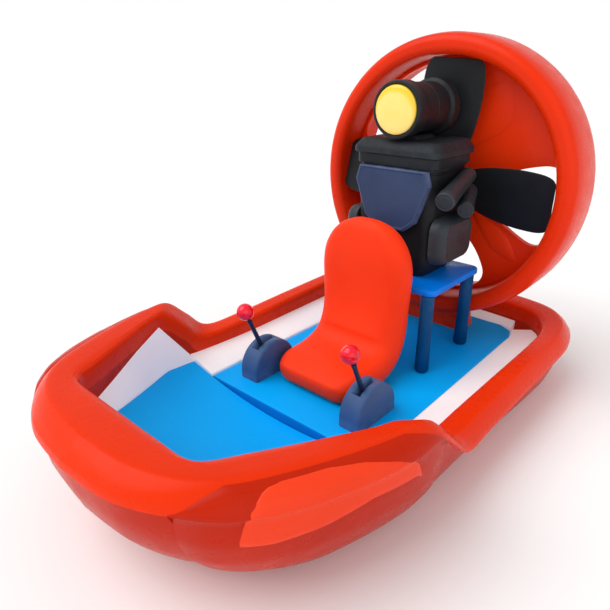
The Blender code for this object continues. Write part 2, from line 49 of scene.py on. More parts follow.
# Focal length and shifts of the lens, in pixels of a picture that is PICTURE wide
FOCAL = 544.9
SHIFT_X = -9.9
SHIFT_Y = -2.1


def put(name, data):
    """An object in the scene for a mesh, a light or a camera."""
    made = bpy.data.objects.new(name, data)
    bpy.context.scene.collection.objects.link(made)
    return made


camera_data = bpy.data.cameras.new("camera")
camera_data.sensor_width = SENSOR_MM
camera_data.lens = SENSOR_MM * FOCAL / PICTURE
camera_data.shift_x = SHIFT_X / PICTURE
camera_data.shift_y = SHIFT_Y / PICTURE
camera = put("camera", camera_data)
camera.location = CAMERA_PLACE
camera.rotation_euler = (radians(90 - CAMERA_ELEVATION), 0.0, radians(CAMERA_AZIMUTH))
bpy.context.scene.camera = camera


# Lower hull: one fibreglass moulding laid up in a mould, flat underneath, flaring up to a crease
# where the coaming's moulding is bonded on. Its red is deeper than the coaming's: painted shade
# for the hull's shaded lower sides.
# Painted shade: the hull's red and its deep tone are darker than the coaming's, for its shaded sides
HULL_SHADE_RED = (0.560, 0.0200, 0.0012)
HULL_SHADE_RED_DEEP = (0.450, 0.0140, 0.0008)
CREASE_DROP = 0.105
WELL_Z = 0.110
WELL_BEND_Y = -0.80
WELL_RISE = 0.25
GAP = 0.0004
HULL_TABLE = (
    # lip x, lip y, rim x, rim y, keel x, keel y, top z
    (0.000, -1.200, 0.000, -1.460, 0.000, -1.075, 0.610),
    (0.200, -1.200, 0.250, -1.435, 0.170, -1.050, 0.610),
    (0.340, -1.198, 0.450, -1.350, 0.310, -0.975, 0.610),
    (0.400, -1.165, 0.600, -1.220, 0.450, -0.900, 0.608),
    (0.450, -1.075, 0.710, -1.035, 0.552, -0.780, 0.602),
    (0.575, -0.850, 0.795, -0.800, 0.610, -0.610, 0.592),
    (0.675, -0.655, 0.842, -0.590, 0.652, -0.450, 0.582),
    (0.706, -0.560, 0.858, -0.430, 0.664, -0.330, 0.566),
    (0.705, -0.450, 0.860, -0.310, 0.668, -0.240, 0.465),
    (0.700, -0.335, 0.858, -0.170, 0.672, -0.140, 0.352),
    (0.698, 0.000, 0.854, 0.060, 0.680, 0.060, 0.343),
    (0.705, 0.400, 0.858, 0.420, 0.705, 0.420, 0.350),
    (0.712, 0.800, 0.862, 0.800, 0.730, 0.800, 0.356),
    (0.702, 0.990, 0.855, 1.040, 0.732, 1.020, 0.360),
    (0.640, 1.140, 0.790, 1.250, 0.690, 1.190, 0.364),
    (0.510, 1.225, 0.640, 1.390, 0.570, 1.310, 0.366),
    (0.260, 1.250, 0.330, 1.450, 0.290, 1.368, 0.366),
    (0.000, 1.250, 0.000, 1.460, 0.000, 1.380, 0.366),
)
FLARE = (
    # height above the bottom, share of the way from keel to rim
    (0.000, 0.000), (0.010, 0.140), (0.040, 0.280), (0.100, 0.450), (0.200, 0.690), (0.300, 0.850),
    (0.400, 0.925), (0.700, 0.985),
)
ROW_STEPS = 8


def curve_through(table, steps):
    """A table with steps rows for each of its own, on a smooth curve through every column."""
    out = []
    last = len(table) - 1
    for i in range(last):
        near = [table[j] for j in (max(i - 1, 0), i, i + 1, min(i + 2, last))]
        for step in range(steps):
            t = step / steps
            out.append(tuple(0.5 * (2 * b + (c - a) * t + (2 * a - 5 * b + 4 * c - d) * t * t
                                    + (3 * b - a - 3 * c + d) * t ** 3) for a, b, c, d in zip(*near)))
    out.append(tuple(table[last]))
    return out


def mix(a, b, share):
    return a + (b - a) * share


def look_up(table, value):
    """The second column of a two-column table at a value of its first."""
    for (low, a), (high, b) in zip(table, table[1:]):
        if value <= high:
            break
    return mix(a, b, (value - low) / (high - low))


ROWS = curve_through(HULL_TABLE, ROW_STEPS)
COLUMNS = {"lip": 0, "rim": 2, "keel": 4}


def between(row, a, b, share, z):
    """A point of a row at height z, a share of the way from outline a to outline b."""
    i = COLUMNS[a]
    j = COLUMNS[b]
    return Vector((mix(row[i], row[j], share), mix(row[i + 1], row[j + 1], share), z))


def round_boat(make):
    """A ring round the whole boat from make(row): the port rows, then their mirror image."""
    port = [make(row) for row in ROWS]
    return port + [Vector((-p.x, p.y, p.z)) for p in port[-2:0:-1]]


def hull_skin(row, level):
    """The lower hull's outer face at a share of its crease's height."""
    height = level * (row[6] - CREASE_DROP)
    return between(row, "keel", "rim", look_up(FLARE, height), height)


def well(y):
    """The height of the hull's inner floor, which rises toward the bow."""
    return WELL_Z + WELL_RISE * max(0.0, WELL_BEND_Y - y)


def piece(name, points, faces, look, sharp=40.0):
    """A mesh piece, its faces turned outward, shaded smooth up to an edge angle in degrees."""
    mesh = bpy.data.meshes.new(name)
    mesh.from_pydata([tuple(p) for p in points], [], faces)
    work = bmesh.new()
    work.from_mesh(mesh)
    bmesh.ops.remove_doubles(work, verts=work.verts, dist=1e-6)
    bmesh.ops.recalc_face_normals(work, faces=work.faces)
    if work.calc_volume(signed=True) < 0:
        bmesh.ops.reverse_faces(work, faces=work.faces)
    work.to_mesh(mesh)
    work.free()
    mesh.shade_smooth()
    mesh.set_sharp_from_angle(angle=radians(sharp))
    mesh.materials.append(look)
    return put(name, mesh)


def skinned(name, rings, look, ends="fan", **more):
    """Skins rings of equal length. ends is fan, strips (rings mirrored about their first point),
    across (rings mirrored about their first edge), or closed, which joins last to first."""
    count = len(rings[0])
    points = [Vector(p) for ring in rings for p in ring]
    faces = []
    for i in range(len(rings) if ends == "closed" else len(rings) - 1):
        a = i * count
        b = (i + 1) % len(rings) * count
        for j in range(count):
            k = (j + 1) % count
            faces.append((a + j, a + k, b + k, b + j))
    for start in (0, (len(rings) - 1) * count) if ends != "closed" else ():
        if ends != "fan":
            shift = 0 if ends == "strips" else 1
            for j in range(count // 2 - shift):
                corners = (j, j + 1, count - j - 1 - shift, (count - j - shift) % count)
                faces.append(tuple(start + c for c in dict.fromkeys(corners)))
            continue
        middle = len(points)
        points.append(sum(points[start:start + count], Vector()) / count)
        for j in range(count):
            faces.append((start + j, start + (j + 1) % count, middle))
    return piece(name, points, faces, look, **more)


def preset(node, **values):
    """Sets a node's unlinked inputs. An underscore stands for the space in an input's name."""
    for socket, value in values.items():
        node.inputs[socket.replace("_", " ")].default_value = value
    return node


def blend(tree, share, a, b):
    """Mixes two colours, each plain or a node's output, by a share that is a node's output."""
    step = tree.nodes.new("ShaderNodeMix")
    step.data_type = "RGBA"
    tree.links.new(share, step.inputs["Factor"])
    for socket, value in ((step.inputs["A"], a), (step.inputs["B"], b)):
        if isinstance(value, tuple):
            socket.default_value = (*value, 1.0)
        else:
            tree.links.new(value, socket)
    return step.outputs["Result"]


def finish(name, colour, deep, rough, patch, grain=130, bump=0.03, worn=None, coat=0, soft=0,
           gloss=0.20):
    """A surface whose colour drifts in broad patches toward deep, with fine grain in roughness
    and bump (a gelcoat's unless given). soft adds a sheen, and worn is the colour of edges."""
    made = bpy.data.materials.new(name)
    made.use_nodes = True
    nodes = made.node_tree.nodes
    link = made.node_tree.links.new
    shader = nodes["Principled BSDF"]
    preset(shader, Specular_IOR_Level=gloss, Coat_Weight=coat, Coat_Roughness=0.12)
    if soft:
        preset(shader, Sheen_Weight=soft, Sheen_Roughness=0.4)
    place = nodes.new("ShaderNodeTexCoord")

    def clouds(scale, detail, low, high):
        # Noise seldom leaves 0.3 to 0.7, so that span is spread from low to high
        texture = preset(nodes.new("ShaderNodeTexNoise"), Scale=scale, Detail=detail)
        link(place.outputs["Object"], texture.inputs["Vector"])
        spread = nodes.new("ShaderNodeMapRange")
        preset(spread, From_Min=0.3, From_Max=0.7, To_Min=low, To_Max=high)
        spread.clamp = False
        link(texture.outputs["Fac"], spread.inputs["Value"])
        return spread.outputs["Result"]

    shade = blend(made.node_tree, clouds(patch, 3.0, 0.0, 1.0), colour, deep)
    if worn:
        # Pointiness over 0.53 is an outer edge; clouds break its rubbed line up
        edges = nodes.new("ShaderNodeNewGeometry")
        ridge = preset(nodes.new("ShaderNodeMapRange"), From_Min=0.53, From_Max=0.62, To_Max=0.55)
        link(edges.outputs["Pointiness"], ridge.inputs["Value"])
        rubbed = nodes.new("ShaderNodeMath")
        rubbed.operation = "MULTIPLY"
        link(ridge.outputs["Result"], rubbed.inputs[0])
        link(clouds(18.0, 4.0, 0.0, 1.0), rubbed.inputs[1])
        shade = blend(made.node_tree, rubbed.outputs["Value"], shade, worn)
    link(shade, shader.inputs["Base Color"])
    link(clouds(grain * 0.12, 6.0, rough * 0.8, rough * 1.25), shader.inputs["Roughness"])
    relief = preset(nodes.new("ShaderNodeBump"), Strength=bump, Distance=0.002)
    link(clouds(grain, 4.0, 0.0, 1.0), relief.inputs["Height"])
    link(relief.outputs["Normal"], shader.inputs["Normal"])
    return made


# This finish carries the painted shade on the lower hull and on the bow cheeks
HULL_SHADE_GELCOAT = finish("hull_gelcoat_painted_shade", HULL_SHADE_RED, HULL_SHADE_RED_DEEP, rough=0.30, patch=1.4,
                      worn=(0.86, 0.10, 0.04), gloss=0.10)
# Up the outer face in shares of the crease's height, then down the inner wall to the inner floor
OUTER_LEVELS = (0.0, 0.02, 0.045, 0.08, 0.12, 0.17, 0.22, 0.30, 0.38, 0.46, 0.54, 0.62, 0.70, 0.78,
                0.86, 0.93, 0.975, 1.0)
INNER_LEVELS = (1.0, 0.5, 0.0)
rings = [round_boat(lambda row, level=level: hull_skin(row, level)) for level in OUTER_LEVELS]
for level in INNER_LEVELS:
    rings.append(round_boat(lambda row, level=level: between(
        row, "lip", "rim", 0, mix(well(row[1]), row[6] - CREASE_DROP, level))))
hull = skinned("hull_shell", rings, HULL_SHADE_GELCOAT, ends="strips", sharp=34)
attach(hull, "boat")
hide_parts("hull_lower")


# Coaming and gunwale: a second red moulding bonded on the hull's crease all round, brighter than
# the hull's painted shade. Its flat top ends in a ridge, from which the outer face falls to the
# crease. It is high at the bow.
RIM_RED = (0.800, 0.034, 0.0020)
RIM_RED_DEEP = (0.720, 0.027, 0.0012)
RIM_EDGE_DROP = 0.088
# Share of the way from the crease to the rim's widest line at which the rim starts to round over
RIM_ROUND = 0.85
RIM_GELCOAT = finish("rim_gelcoat", RIM_RED, RIM_RED_DEEP, rough=0.28, patch=1.4,
                     worn=(0.88, 0.10, 0.04), gloss=0.10)
RIM_SECTION = (
    # share of the way from lip to rim, drop from the top
    (1.000, RIM_EDGE_DROP), (0.990, 0.074), (0.970, 0.062), (0.905, 0.0445), (0.840, 0.028),
    (0.760, 0.0150), (0.688, 0.0040), (0.672, 0.0024), (0.600, 0.0000), (0.500, 0.0008),
    (0.380, 0.0025), (0.240, 0.004), (0.140, 0.0065), (0.060, 0.014), (0.020, 0.022),
    (0.000, 0.036), (0.000, 0.060), (0.000, 0.1046),
)
rings = [round_boat(lambda row: hull_skin(row, 1.0) + Vector((0, 0, GAP))),
         round_boat(lambda row: mix(hull_skin(row, 1.0),
                                    between(row, "lip", "rim", 1, row[6] - RIM_EDGE_DROP), RIM_ROUND))]
for share, drop in RIM_SECTION:
    rings.append(round_boat(lambda row, share=share, drop=drop: between(
        row, "lip", "rim", share, row[6] - drop)))
coaming = skinned("coaming_and_gunwale", rings, RIM_GELCOAT, ends="closed", sharp=19)
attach(coaming, "boat")
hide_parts("coaming_rim")


# Bow cheeks: raised panels moulded on the hull's sides, to stiffen them and throw spray outward.
# Each is a skin of the same fibreglass from the coaming's ridge down, in the hull's painted-shade
# red, with a raked front end, a taper astern, and on it a low pad in a brighter red: a painted
# highlight where light falls on the cheek.
SIDES = ((1, "port"), (-1, "starboard"))
CHEEK_FIRST = 2 * ROW_STEPS
CHEEK_LAST = 15 * ROW_STEPS // 2
CHEEK_SECTION = (
    # way up the side: 0 to 1 is the hull's skin, 1 to 2 the rim's outer face, thickness
    (0.14, 0.0010), (0.17, 0.0065), (0.22, 0.0110), (0.28, 0.0140), (0.40, 0.0195), (0.54, 0.0240),
    (0.68, 0.0256), (0.80, 0.0260), (0.90, 0.0256), (1.00, 0.0240), (1.15, 0.0213), (1.30, 0.0180),
    (1.50, 0.0148), (1.65, 0.0120), (1.80, 0.0078), (1.88, 0.0040), (1.92, 0.0010),
)
RIM_FACE = (
    # way up from the crease, share from lip to rim, drop from the top, tilt in degrees
    (1.00, 0.985, CREASE_DROP, 0),
    (1.15, 1.00, RIM_EDGE_DROP, 10),
    (1.40, 0.97, 0.062, 35),
    (1.70, 0.84, 0.028, 50),
    (2.00, 0.68, 0.003, 60),
)
CHEEK_THIN = (
    # half rows of HULL_TABLE from the end, share of the thickness
    (0.0, 0.03), (0.25, 0.30), (0.5, 0.52), (1.0, 0.80), (2.0, 1.00), (99.0, 1.00),
)
CHEEK_REACH = (
    # half rows of HULL_TABLE from the end, share of the height
    (0.0, 0.62), (0.25, 0.66), (0.5, 0.72), (1.0, 0.84), (2.0, 1.00), (99.0, 1.00),
)
FACET_LOW = (
    # index in ROWS, way up the side
    (24, 0.800), (28, 0.775), (34, 0.800), (40, 0.870), (45, 0.855), (49, 0.850),
)
FACET_HIGH = (
    # index in ROWS, way up the side
    (24, 0.84), (25, 1.05), (26, 1.28), (27, 1.48), (28, 1.62), (29, 1.70), (31, 1.76), (36, 1.76),
    (40, 1.62), (44, 1.34), (47, 1.05), (49, 0.87),
)
# Each way of the section is followed by two more before the next one, on the facet too
WAY_STEPS = 3
CHEEK_WAYS = []
for (low, _), (high, _) in zip(CHEEK_SECTION, CHEEK_SECTION[1:]):
    CHEEK_WAYS += [mix(low, high, i / WAY_STEPS) for i in range(WAY_STEPS)]
CHEEK_WAYS.append(CHEEK_SECTION[-1][0])
FACET_WAYS = [way for way in CHEEK_WAYS if 0.75 < way < 1.85]
FACET_PROUD = 0.0022
FACET_EDGE = 0.0004
CHEEK_PROUD = 0.0012
CHEEK_SUNK = 0.0015
CHEEK_ROOT = 0.003
# How slowly the thickness runs out astern, where the height starts to taper, and its last share
CHEEK_RUN_OUT = 0.42
CHEEK_TAPER = 3.0
CHEEK_TAIL = 0.50
# Painted highlight: the pad's brighter red stands for light falling on the cheek
FACET_HIGHLIGHT_RED = (0.880, 0.058, 0.018)
FACET_HIGHLIGHT_RED_DEEP = (0.820, 0.048, 0.012)
FACET_HIGHLIGHT_GELCOAT = finish("cheek_facet_painted_highlight", FACET_HIGHLIGHT_RED, FACET_HIGHLIGHT_RED_DEEP, rough=0.30, patch=1.4,
                       worn=(0.90, 0.12, 0.05), gloss=0.10)


def outward_at(index):
    """The level direction away from the boat at one of ROWS."""
    ahead = Vector(ROWS[max(index - 1, 0)][2:4])
    behind = Vector(ROWS[min(index + 1, len(ROWS) - 1)][2:4])
    along = (behind - ahead).normalized()
    return Vector((along.y, -along.x, 0.0))


def side_face(index, way):
    """A point of the boat's side, and the way out from it."""
    row = ROWS[index]
    level = outward_at(index)
    if way <= 1.0:
        return hull_skin(row, way), level
    for low, high in zip(RIM_FACE, RIM_FACE[1:]):
        if way <= high[0]:
            break
    part = (way - low[0]) / (high[0] - low[0])
    share, drop, tilt = (mix(a, b, part) for a, b in zip(low[1:], high[1:]))
    tilt = radians(tilt)
    away = level * cos(tilt) + Vector((0, 0, sin(tilt)))
    if low == RIM_FACE[0]:
        top = between(row, "lip", "rim", high[1], row[6] - high[2])
        return hull_skin(row, 1.0).lerp(top, part), away
    return between(row, "lip", "rim", share, row[6] - drop), away


def cheek_face(index, way, proud=0.0):
    """A point proud of a cheek's outer face at one of ROWS, and one of its root in the hull."""
    ahead = 2.0 * (index - CHEEK_FIRST) / ROW_STEPS
    astern = 2.0 * (CHEEK_LAST - index) / ROW_STEPS
    thin = look_up(CHEEK_THIN, min(ahead, CHEEK_RUN_OUT * astern))
    reach = look_up(CHEEK_REACH, ahead) * mix(CHEEK_TAIL, 1.0, min(1.0, astern / CHEEK_TAPER))
    skin, away = side_face(index, way * reach)
    lift = mix(-CHEEK_SUNK, CHEEK_PROUD, min(1.0, astern)) + thin * look_up(CHEEK_SECTION, way) + proud
    return skin + away * lift, skin - away * CHEEK_ROOT


for side, word in SIDES:
    rings = []
    for index in range(CHEEK_FIRST, CHEEK_LAST + 1):
        pairs = [cheek_face(index, way) for way in CHEEK_WAYS]
        ring = [root for face, root in pairs] + [face for face, root in pairs[::-1]]
        rings.append([(side * p.x, p.y, p.z) for p in ring])
    # The cheek's skin takes the hull's darker red, which is painted shade
    cheek = skinned(f"bow_cheek_skin_{word}", rings, HULL_SHADE_GELCOAT, sharp=50)
    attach(cheek, "boat")
    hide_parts(f"bow_cheek_{word}")
    rings = []
    first = FACET_LOW[0][0]
    last = FACET_LOW[-1][0]
    for index in range(first, last + 1):
        low = look_up(FACET_LOW, index)
        high = look_up(FACET_HIGH, index)
        top = []
        for way in FACET_WAYS:
            at_edge = way <= low or way >= high or index in (first, last)
            proud = FACET_EDGE if at_edge else FACET_PROUD
            top.append(cheek_face(index, min(max(way, low), high), proud)[0])
        ring = top + [p - outward_at(index) * CHEEK_ROOT for p in top[::-1]]
        rings.append([(side * p.x, p.y, p.z) for p in ring])
    # The pad's brighter red is a painted highlight
    facet = skinned(f"bow_cheek_highlight_pad_{word}", rings, FACET_HIGHLIGHT_GELCOAT, sharp=60)
    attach(facet, "boat")


# Bow floor and rear deck: blue non-slip decks of moulded plastic sheet, screwed down in the hull.
# The bow floor is dished and a step lower; the rear deck carries seat, levers and engine table.
DECK_BLUE = (0.000, 0.430, 1.000)
DECK_BLUE_DEEP = (0.000, 0.385, 0.960)
# Painted shade: a darker blue for the riser's face, which faces the bow
RISER_SHADE_BLUE = (0.000, 0.205, 0.600)
RISER_SHADE_BLUE_DEEP = (0.000, 0.170, 0.520)
DECK_Z = 0.204
DECK_FRONT = -0.43
DECK_SHEET = finish("deck_sheet", DECK_BLUE, DECK_BLUE_DEEP, rough=0.48, patch=1.1,
                    grain=420, bump=0.12, worn=(0.02, 0.42, 1.0), gloss=0.08)
# The riser's finish carries that painted shade
RISER_SHADE_FINISH = finish("deck_riser_painted_shade", RISER_SHADE_BLUE, RISER_SHADE_BLUE_DEEP, rough=0.6, patch=1.5,
                      grain=300, bump=0.10, gloss=0.06)
FLOOR_TABLE = (
    # y, half width, middle z, edge z
    (-1.196, 0.322, 0.336, 0.384),
    (-1.160, 0.345, 0.320, 0.370),
    (-1.000, 0.430, 0.250, 0.330),
    (-0.800, 0.545, 0.192, 0.290),
    (-0.600, 0.650, 0.162, 0.260),
    (-0.435, 0.662, 0.152, 0.240),
)
# Forward of PACKER_Y, packers lift what stands on the hull's inner floor off it
PACKER_Y = -0.70
PACKER = 0.008


def under(y):
    """The underside of what stands on the hull's inner floor."""
    return well(y) + GAP + (PACKER if y < PACKER_Y else 0.0)


rings = []
for y, half, middle, edge in curve_through(FLOOR_TABLE, 6):
    top = []
    for i in range(-16, 17):
        share = i / 16
        top.append((half * share, y, mix(middle, edge, share * share)))
    rings.append(top + [(x, y, under(y)) for x, y, z in top[::-1]])
bow_sheet = skinned("bow_floor_sheet", rings, DECK_SHEET, ends="across", sharp=35)

DECK_TABLE = (
    # y, half width, least drop of the edge
    (DECK_FRONT, 0.518, 0.0105), (DECK_FRONT + 0.0012, 0.518, 0.0055),
    (DECK_FRONT + 0.0045, 0.518, 0.0018), (DECK_FRONT + 0.0095, 0.518, 0.0004),
    (DECK_FRONT + 0.0200, 0.518, 0), (0.400, 0.510, 0), (1.080, 0.500, 0), (1.165, 0.470, 0),
    (1.205, 0.400, 0),
)
DECK_EDGE = (
    # distance in from the side, drop
    (0.0000, 0.0120), (0.0010, 0.0060), (0.0040, 0.0020), (0.0090, 0.0004), (0.0200, 0.0000),
)
rings = []
for y, half, least in DECK_TABLE:
    edge = [(half - inset, y, DECK_Z - max(least, drop)) for inset, drop in DECK_EDGE]
    ring = edge + [(-x, y, z) for x, y, z in edge[::-1]]
    rings.append(ring + [(-half, y, WELL_Z + GAP), (half, y, WELL_Z + GAP)])
deck = skinned("rear_deck_sheet", rings, DECK_SHEET, sharp=35)
# The riser between the two decks, which faces the bow, gets a darker blue: painted shade
deck.data.materials.append(RISER_SHADE_FINISH)
for face in deck.data.polygons:
    if face.normal.y < -0.5:
        face.material_index = 1
for made, node in ((bow_sheet, "bow_floor"), (deck, "rear_deck")):
    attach(made, "boat")
    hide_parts(node)


# Liner panels: white plastic strips that slope from the decks up to the hull's wall, covering
# the foam behind. The bow pair stand steeper and end in a point on the coaming.
LINER_PLASTIC_PAINTED_GLOW = finish("liner_plastic_painted_glow", (0.93, 0.91, 0.92), (0.86, 0.80, 0.82), rough=0.38, coat=0.15,
                       patch=2.0, grain=300, bump=0.06)
# Painted light: a faint emission keeps the white plastic bright in the shade, though it is no lamp
preset(LINER_PLASTIC_PAINTED_GLOW.node_tree.nodes["Principled BSDF"],
       Emission_Color=(1.0, 0.93, 0.90, 1.0), Emission_Strength=0.13)
SIDE_LINER = (
    # y, inner x, inner z, outer x, outer z
    (-0.430, 0.5225, 0.212, 0.702, 0.268),
    (-0.310, 0.5215, 0.212, 0.699, 0.260),
    (0.000, 0.5195, 0.212, 0.697, 0.250),
    (0.400, 0.5145, 0.212, 0.703, 0.250),
    (0.800, 0.5085, 0.212, 0.711, 0.250),
    (0.990, 0.5060, 0.212, 0.700, 0.250),
    (1.075, 0.5050, 0.212, 0.672, 0.250),
    (1.130, 0.4890, 0.212, 0.642, 0.250),
    (1.168, 0.4740, 0.212, 0.598, 0.250),
)
BOW_LINER = (
    # y, inner x, inner z, outer x, outer z
    (-1.155, 0.340, 0.372, 0.397, 0.430),
    (-1.000, 0.434, 0.332, 0.487, 0.445),
    (-0.800, 0.549, 0.292, 0.597, 0.478),
    (-0.615, 0.650, 0.264, 0.685, 0.508),
    (-0.436, 0.667, 0.242, 0.701, 0.272),
)
LINER_FACE = (
    # share of the way out, share of the way up, drop
    (0.00, 0.000, 0.004), (0.03, 0.030, 0.001), (0.08, 0.080, 0.000),
    (0.92, 0.920, 0.000), (0.97, 0.965, 0.000), (1.00, 1.000, 0.000),
)
for label, table, steps in (("side", SIDE_LINER, 4), ("bow", BOW_LINER, 1)):
    for side, word in SIDES:
        rings = []
        for y, inner_x, inner_z, outer_x, outer_z in curve_through(table, steps):
            face = [(side * mix(inner_x, outer_x, out), y, mix(inner_z, outer_z, up) - drop)
                    for out, up, drop in LINER_FACE]
            rings.append(face + [(side * outer_x, y, under(y)), (side * inner_x, y, under(y))])
        strip = skinned(f"liner_panel_{label}_{word}", rings, LINER_PLASTIC_PAINTED_GLOW, sharp=35)
        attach(strip, "boat")
        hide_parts(f"liner_{label}_{word}")
STERN_LINER = (
    # x, front y, back y
    (-0.470, 1.173, 1.228),
    (-0.405, 1.209, 1.236),
    (-0.250, 1.209, 1.248),
    (0.250, 1.209, 1.248),
    (0.405, 1.209, 1.236),
    (0.470, 1.173, 1.228),
)
STERN_LOW_Z = 0.212
STERN_HIGH_Z = 0.250
STERN_ROUND = 0.004
rings = []
for x, front, back in STERN_LINER:
    rings.append([(x, front, STERN_LOW_Z - STERN_ROUND), (x, front + STERN_ROUND, STERN_LOW_Z),
                  (x, back, STERN_HIGH_Z), (x, back, WELL_Z + GAP), (x, front, WELL_Z + GAP)])
strip = skinned("liner_panel_stern", rings, LINER_PLASTIC_PAINTED_GLOW, sharp=35)
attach(strip, "boat")
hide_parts("liner_stern")


# Bucket seat: a one-piece cushion of moulded foam in orange-red marine vinyl, standing on the
# deck. The padded shell rolls from the cushion up into a tall back with a rounded top.
SEAT_VINYL = finish("seat_vinyl", (0.97, 0.044, 0.0060), (0.88, 0.035, 0.0040), rough=0.46, patch=3.0,
                    grain=900, bump=0.16, soft=0.02, gloss=0.12)
SEAT_TABLE = (
    # y, z, lean in degrees, half width, half thickness
    (-0.232, 0.262, 80, 0.140, 0.024),
    (-0.212, 0.266, 78, 0.214, 0.052),
    (-0.135, 0.278, 86, 0.262, 0.072),
    (-0.020, 0.284, 92, 0.266, 0.078),
    (0.080, 0.300, 80, 0.264, 0.092),
    (0.170, 0.345, 52, 0.260, 0.116),
    (0.222, 0.440, 18, 0.256, 0.118),
    (0.236, 0.560, 5, 0.258, 0.094),
    (0.238, 0.680, 1, 0.266, 0.082),
    (0.238, 0.790, -2, 0.268, 0.078),
    (0.236, 0.875, -3, 0.250, 0.073),
    (0.234, 0.945, -4, 0.210, 0.064),
    (0.231, 0.995, -5, 0.155, 0.050),
    (0.229, 1.024, -5, 0.090, 0.030),
    (0.228, 1.036, -5, 0.040, 0.012),
)


def rounded(half_x, half_y, radius, steps):
    """The corner points of a rounded rectangle, in its own plane."""
    points = []
    for quarter, (sx, sy) in enumerate(((1, 1), (-1, 1), (-1, -1), (1, -1))):
        for i in range(steps + 1):
            turn = pi / 2 * (quarter + i / steps)
            points.append((sx * (half_x - radius) + radius * cos(turn),
                           sy * (half_y - radius) + radius * sin(turn)))
    return points


def padded_section(half, thick):
    """A seat section: flat in the middle, a full round edge, and evenly spread points."""
    steps = 8
    outline = rounded(half, thick, 0.98 * thick, steps)
    filled = []
    for (u, v), (next_u, next_v) in zip(outline, outline[1:] + outline[:1]):
        filled.append((u, v))
        if abs(next_u - u) > thick:
            for step in range(1, steps):
                filled.append((mix(u, next_u, step / steps), mix(v, next_v, step / steps)))
    return filled


rings = []
for y, z, lean, half, thick in curve_through(SEAT_TABLE, 5):
    tilt = radians(lean)
    rings.append([(u, y - v * cos(tilt), z + v * sin(tilt)) for u, v in padded_section(half, thick)])
lift = DECK_Z + GAP - min(z for ring in rings for x, y, z in ring)
rings = [[(x, y, z + lift) for x, y, z in ring] for ring in rings]
seat = skinned("seat_cushion", rings, SEAT_VINYL, sharp=80)
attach(seat, "boat")
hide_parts("seat_bucket")


# Control levers: a slate plastic quadrant box screwed to the deck on each side of the seat, with
# a painted steel stick on a pivot in its slot and a red plastic ball screwed on its end.
BOX_X = 0.337
BOX_Y = -0.180
BOX_R = 0.148
BOX_THICK = 0.122
BOX_FOOT = 0.044
BOX_STEPS = 48
LEVER_LEAN = radians(23.5)
LEVER_LENGTH = 0.367
PIVOT_Z = DECK_Z + 0.060
KNOB_R = 0.0440
STICK_LOW = 0.004
STICK_HIGH = LEVER_LENGTH - KNOB_R * 0.96
SEAM = 0.0006
KNOB_RINGS = 24
KNOB_SIDES = 40
SLOT_BACK = 0.020
SLOT_HALF_X = 0.0190
SLOT_HALF_Y = 0.070
SLOT_CORNER = 0.006
SLOT_LOW_Z = PIVOT_Z - 0.025
SLOT_HIGH_Z = DECK_Z + 0.20
BOX_SECTION = (
    # share of the thickness from the middle, scale of the outline
    (-0.500, 0.930), (-0.485, 0.955), (-0.460, 0.975), (-0.430, 0.992), (-0.390, 1.000),
    (0.390, 1.000), (0.430, 0.992), (0.460, 0.975), (0.485, 0.955), (0.500, 0.930),
)
STICK_SECTION = (
    # share of the length, radius: a plain rod, a collar under the knob, a thinner neck
    (0.000, 0.0118), (0.020, 0.0125), (0.600, 0.0120), (0.880, 0.0112), (0.885, 0.0135),
    (0.930, 0.0135), (0.935, 0.0095), (1.000, 0.0060),
)
BOSS_HALF = 0.0185
BOSS_SECTION = ((0.0, 0.0130), (0.06, 0.0155), (0.14, 0.0160), (0.86, 0.0160), (0.94, 0.0155), (1.0, 0.0130))
BOX_PLASTIC = finish("lever_box_plastic", (0.052, 0.115, 0.262), (0.036, 0.085, 0.205), rough=0.42, patch=6.0,
                     grain=520, bump=0.10, worn=(0.16, 0.26, 0.44))
STICK_PAINT = finish("lever_stick_paint", (0.012, 0.026, 0.062), (0.008, 0.018, 0.045), rough=0.34, patch=9.0,
                     grain=500, bump=0.05, worn=(0.10, 0.14, 0.22))
KNOB_PLASTIC = finish("lever_knob_plastic", (0.94, 0.006, 0.030), (0.80, 0.003, 0.020), rough=0.16, coat=0.5,
                      patch=14.0, grain=400, bump=0.02)


def cut_out(made, tools):
    """Cuts the tools' space out of a piece, and takes the tools away."""
    for tool in tools:
        cut = made.modifiers.new(tool.name, "BOOLEAN")
        cut.operation = "DIFFERENCE"
        cut.solver = "EXACT"
        cut.object = tool
    bpy.context.view_layer.update()
    baked = bpy.data.meshes.new_from_object(made.evaluated_get(bpy.context.evaluated_depsgraph_get()))
    made.modifiers.clear()
    made.data = baked
    for tool in tools:
        bpy.data.objects.remove(tool, do_unlink=True)


def turns(count):
    """So many angles, evenly round a circle."""
    return [2 * pi * i / count for i in range(count)]


def circle(centre, radius, side, other, count):
    """A ring of points in the plane of the axes side and other."""
    return [centre + radius * (cos(turn) * side + sin(turn) * other) for turn in turns(count)]


def turned(name, start, end, profile, look, count=32, **more):
    """A round piece from start to end. profile holds (share of the length, radius)."""
    start = Vector(start)
    end = Vector(end)
    axis = (end - start).normalized()
    side = axis.orthogonal().normalized()
    other = axis.cross(side)
    rings = [circle(start.lerp(end, share), radius, side, other, count) for share, radius in profile]
    return skinned(name, rings, look, **more)


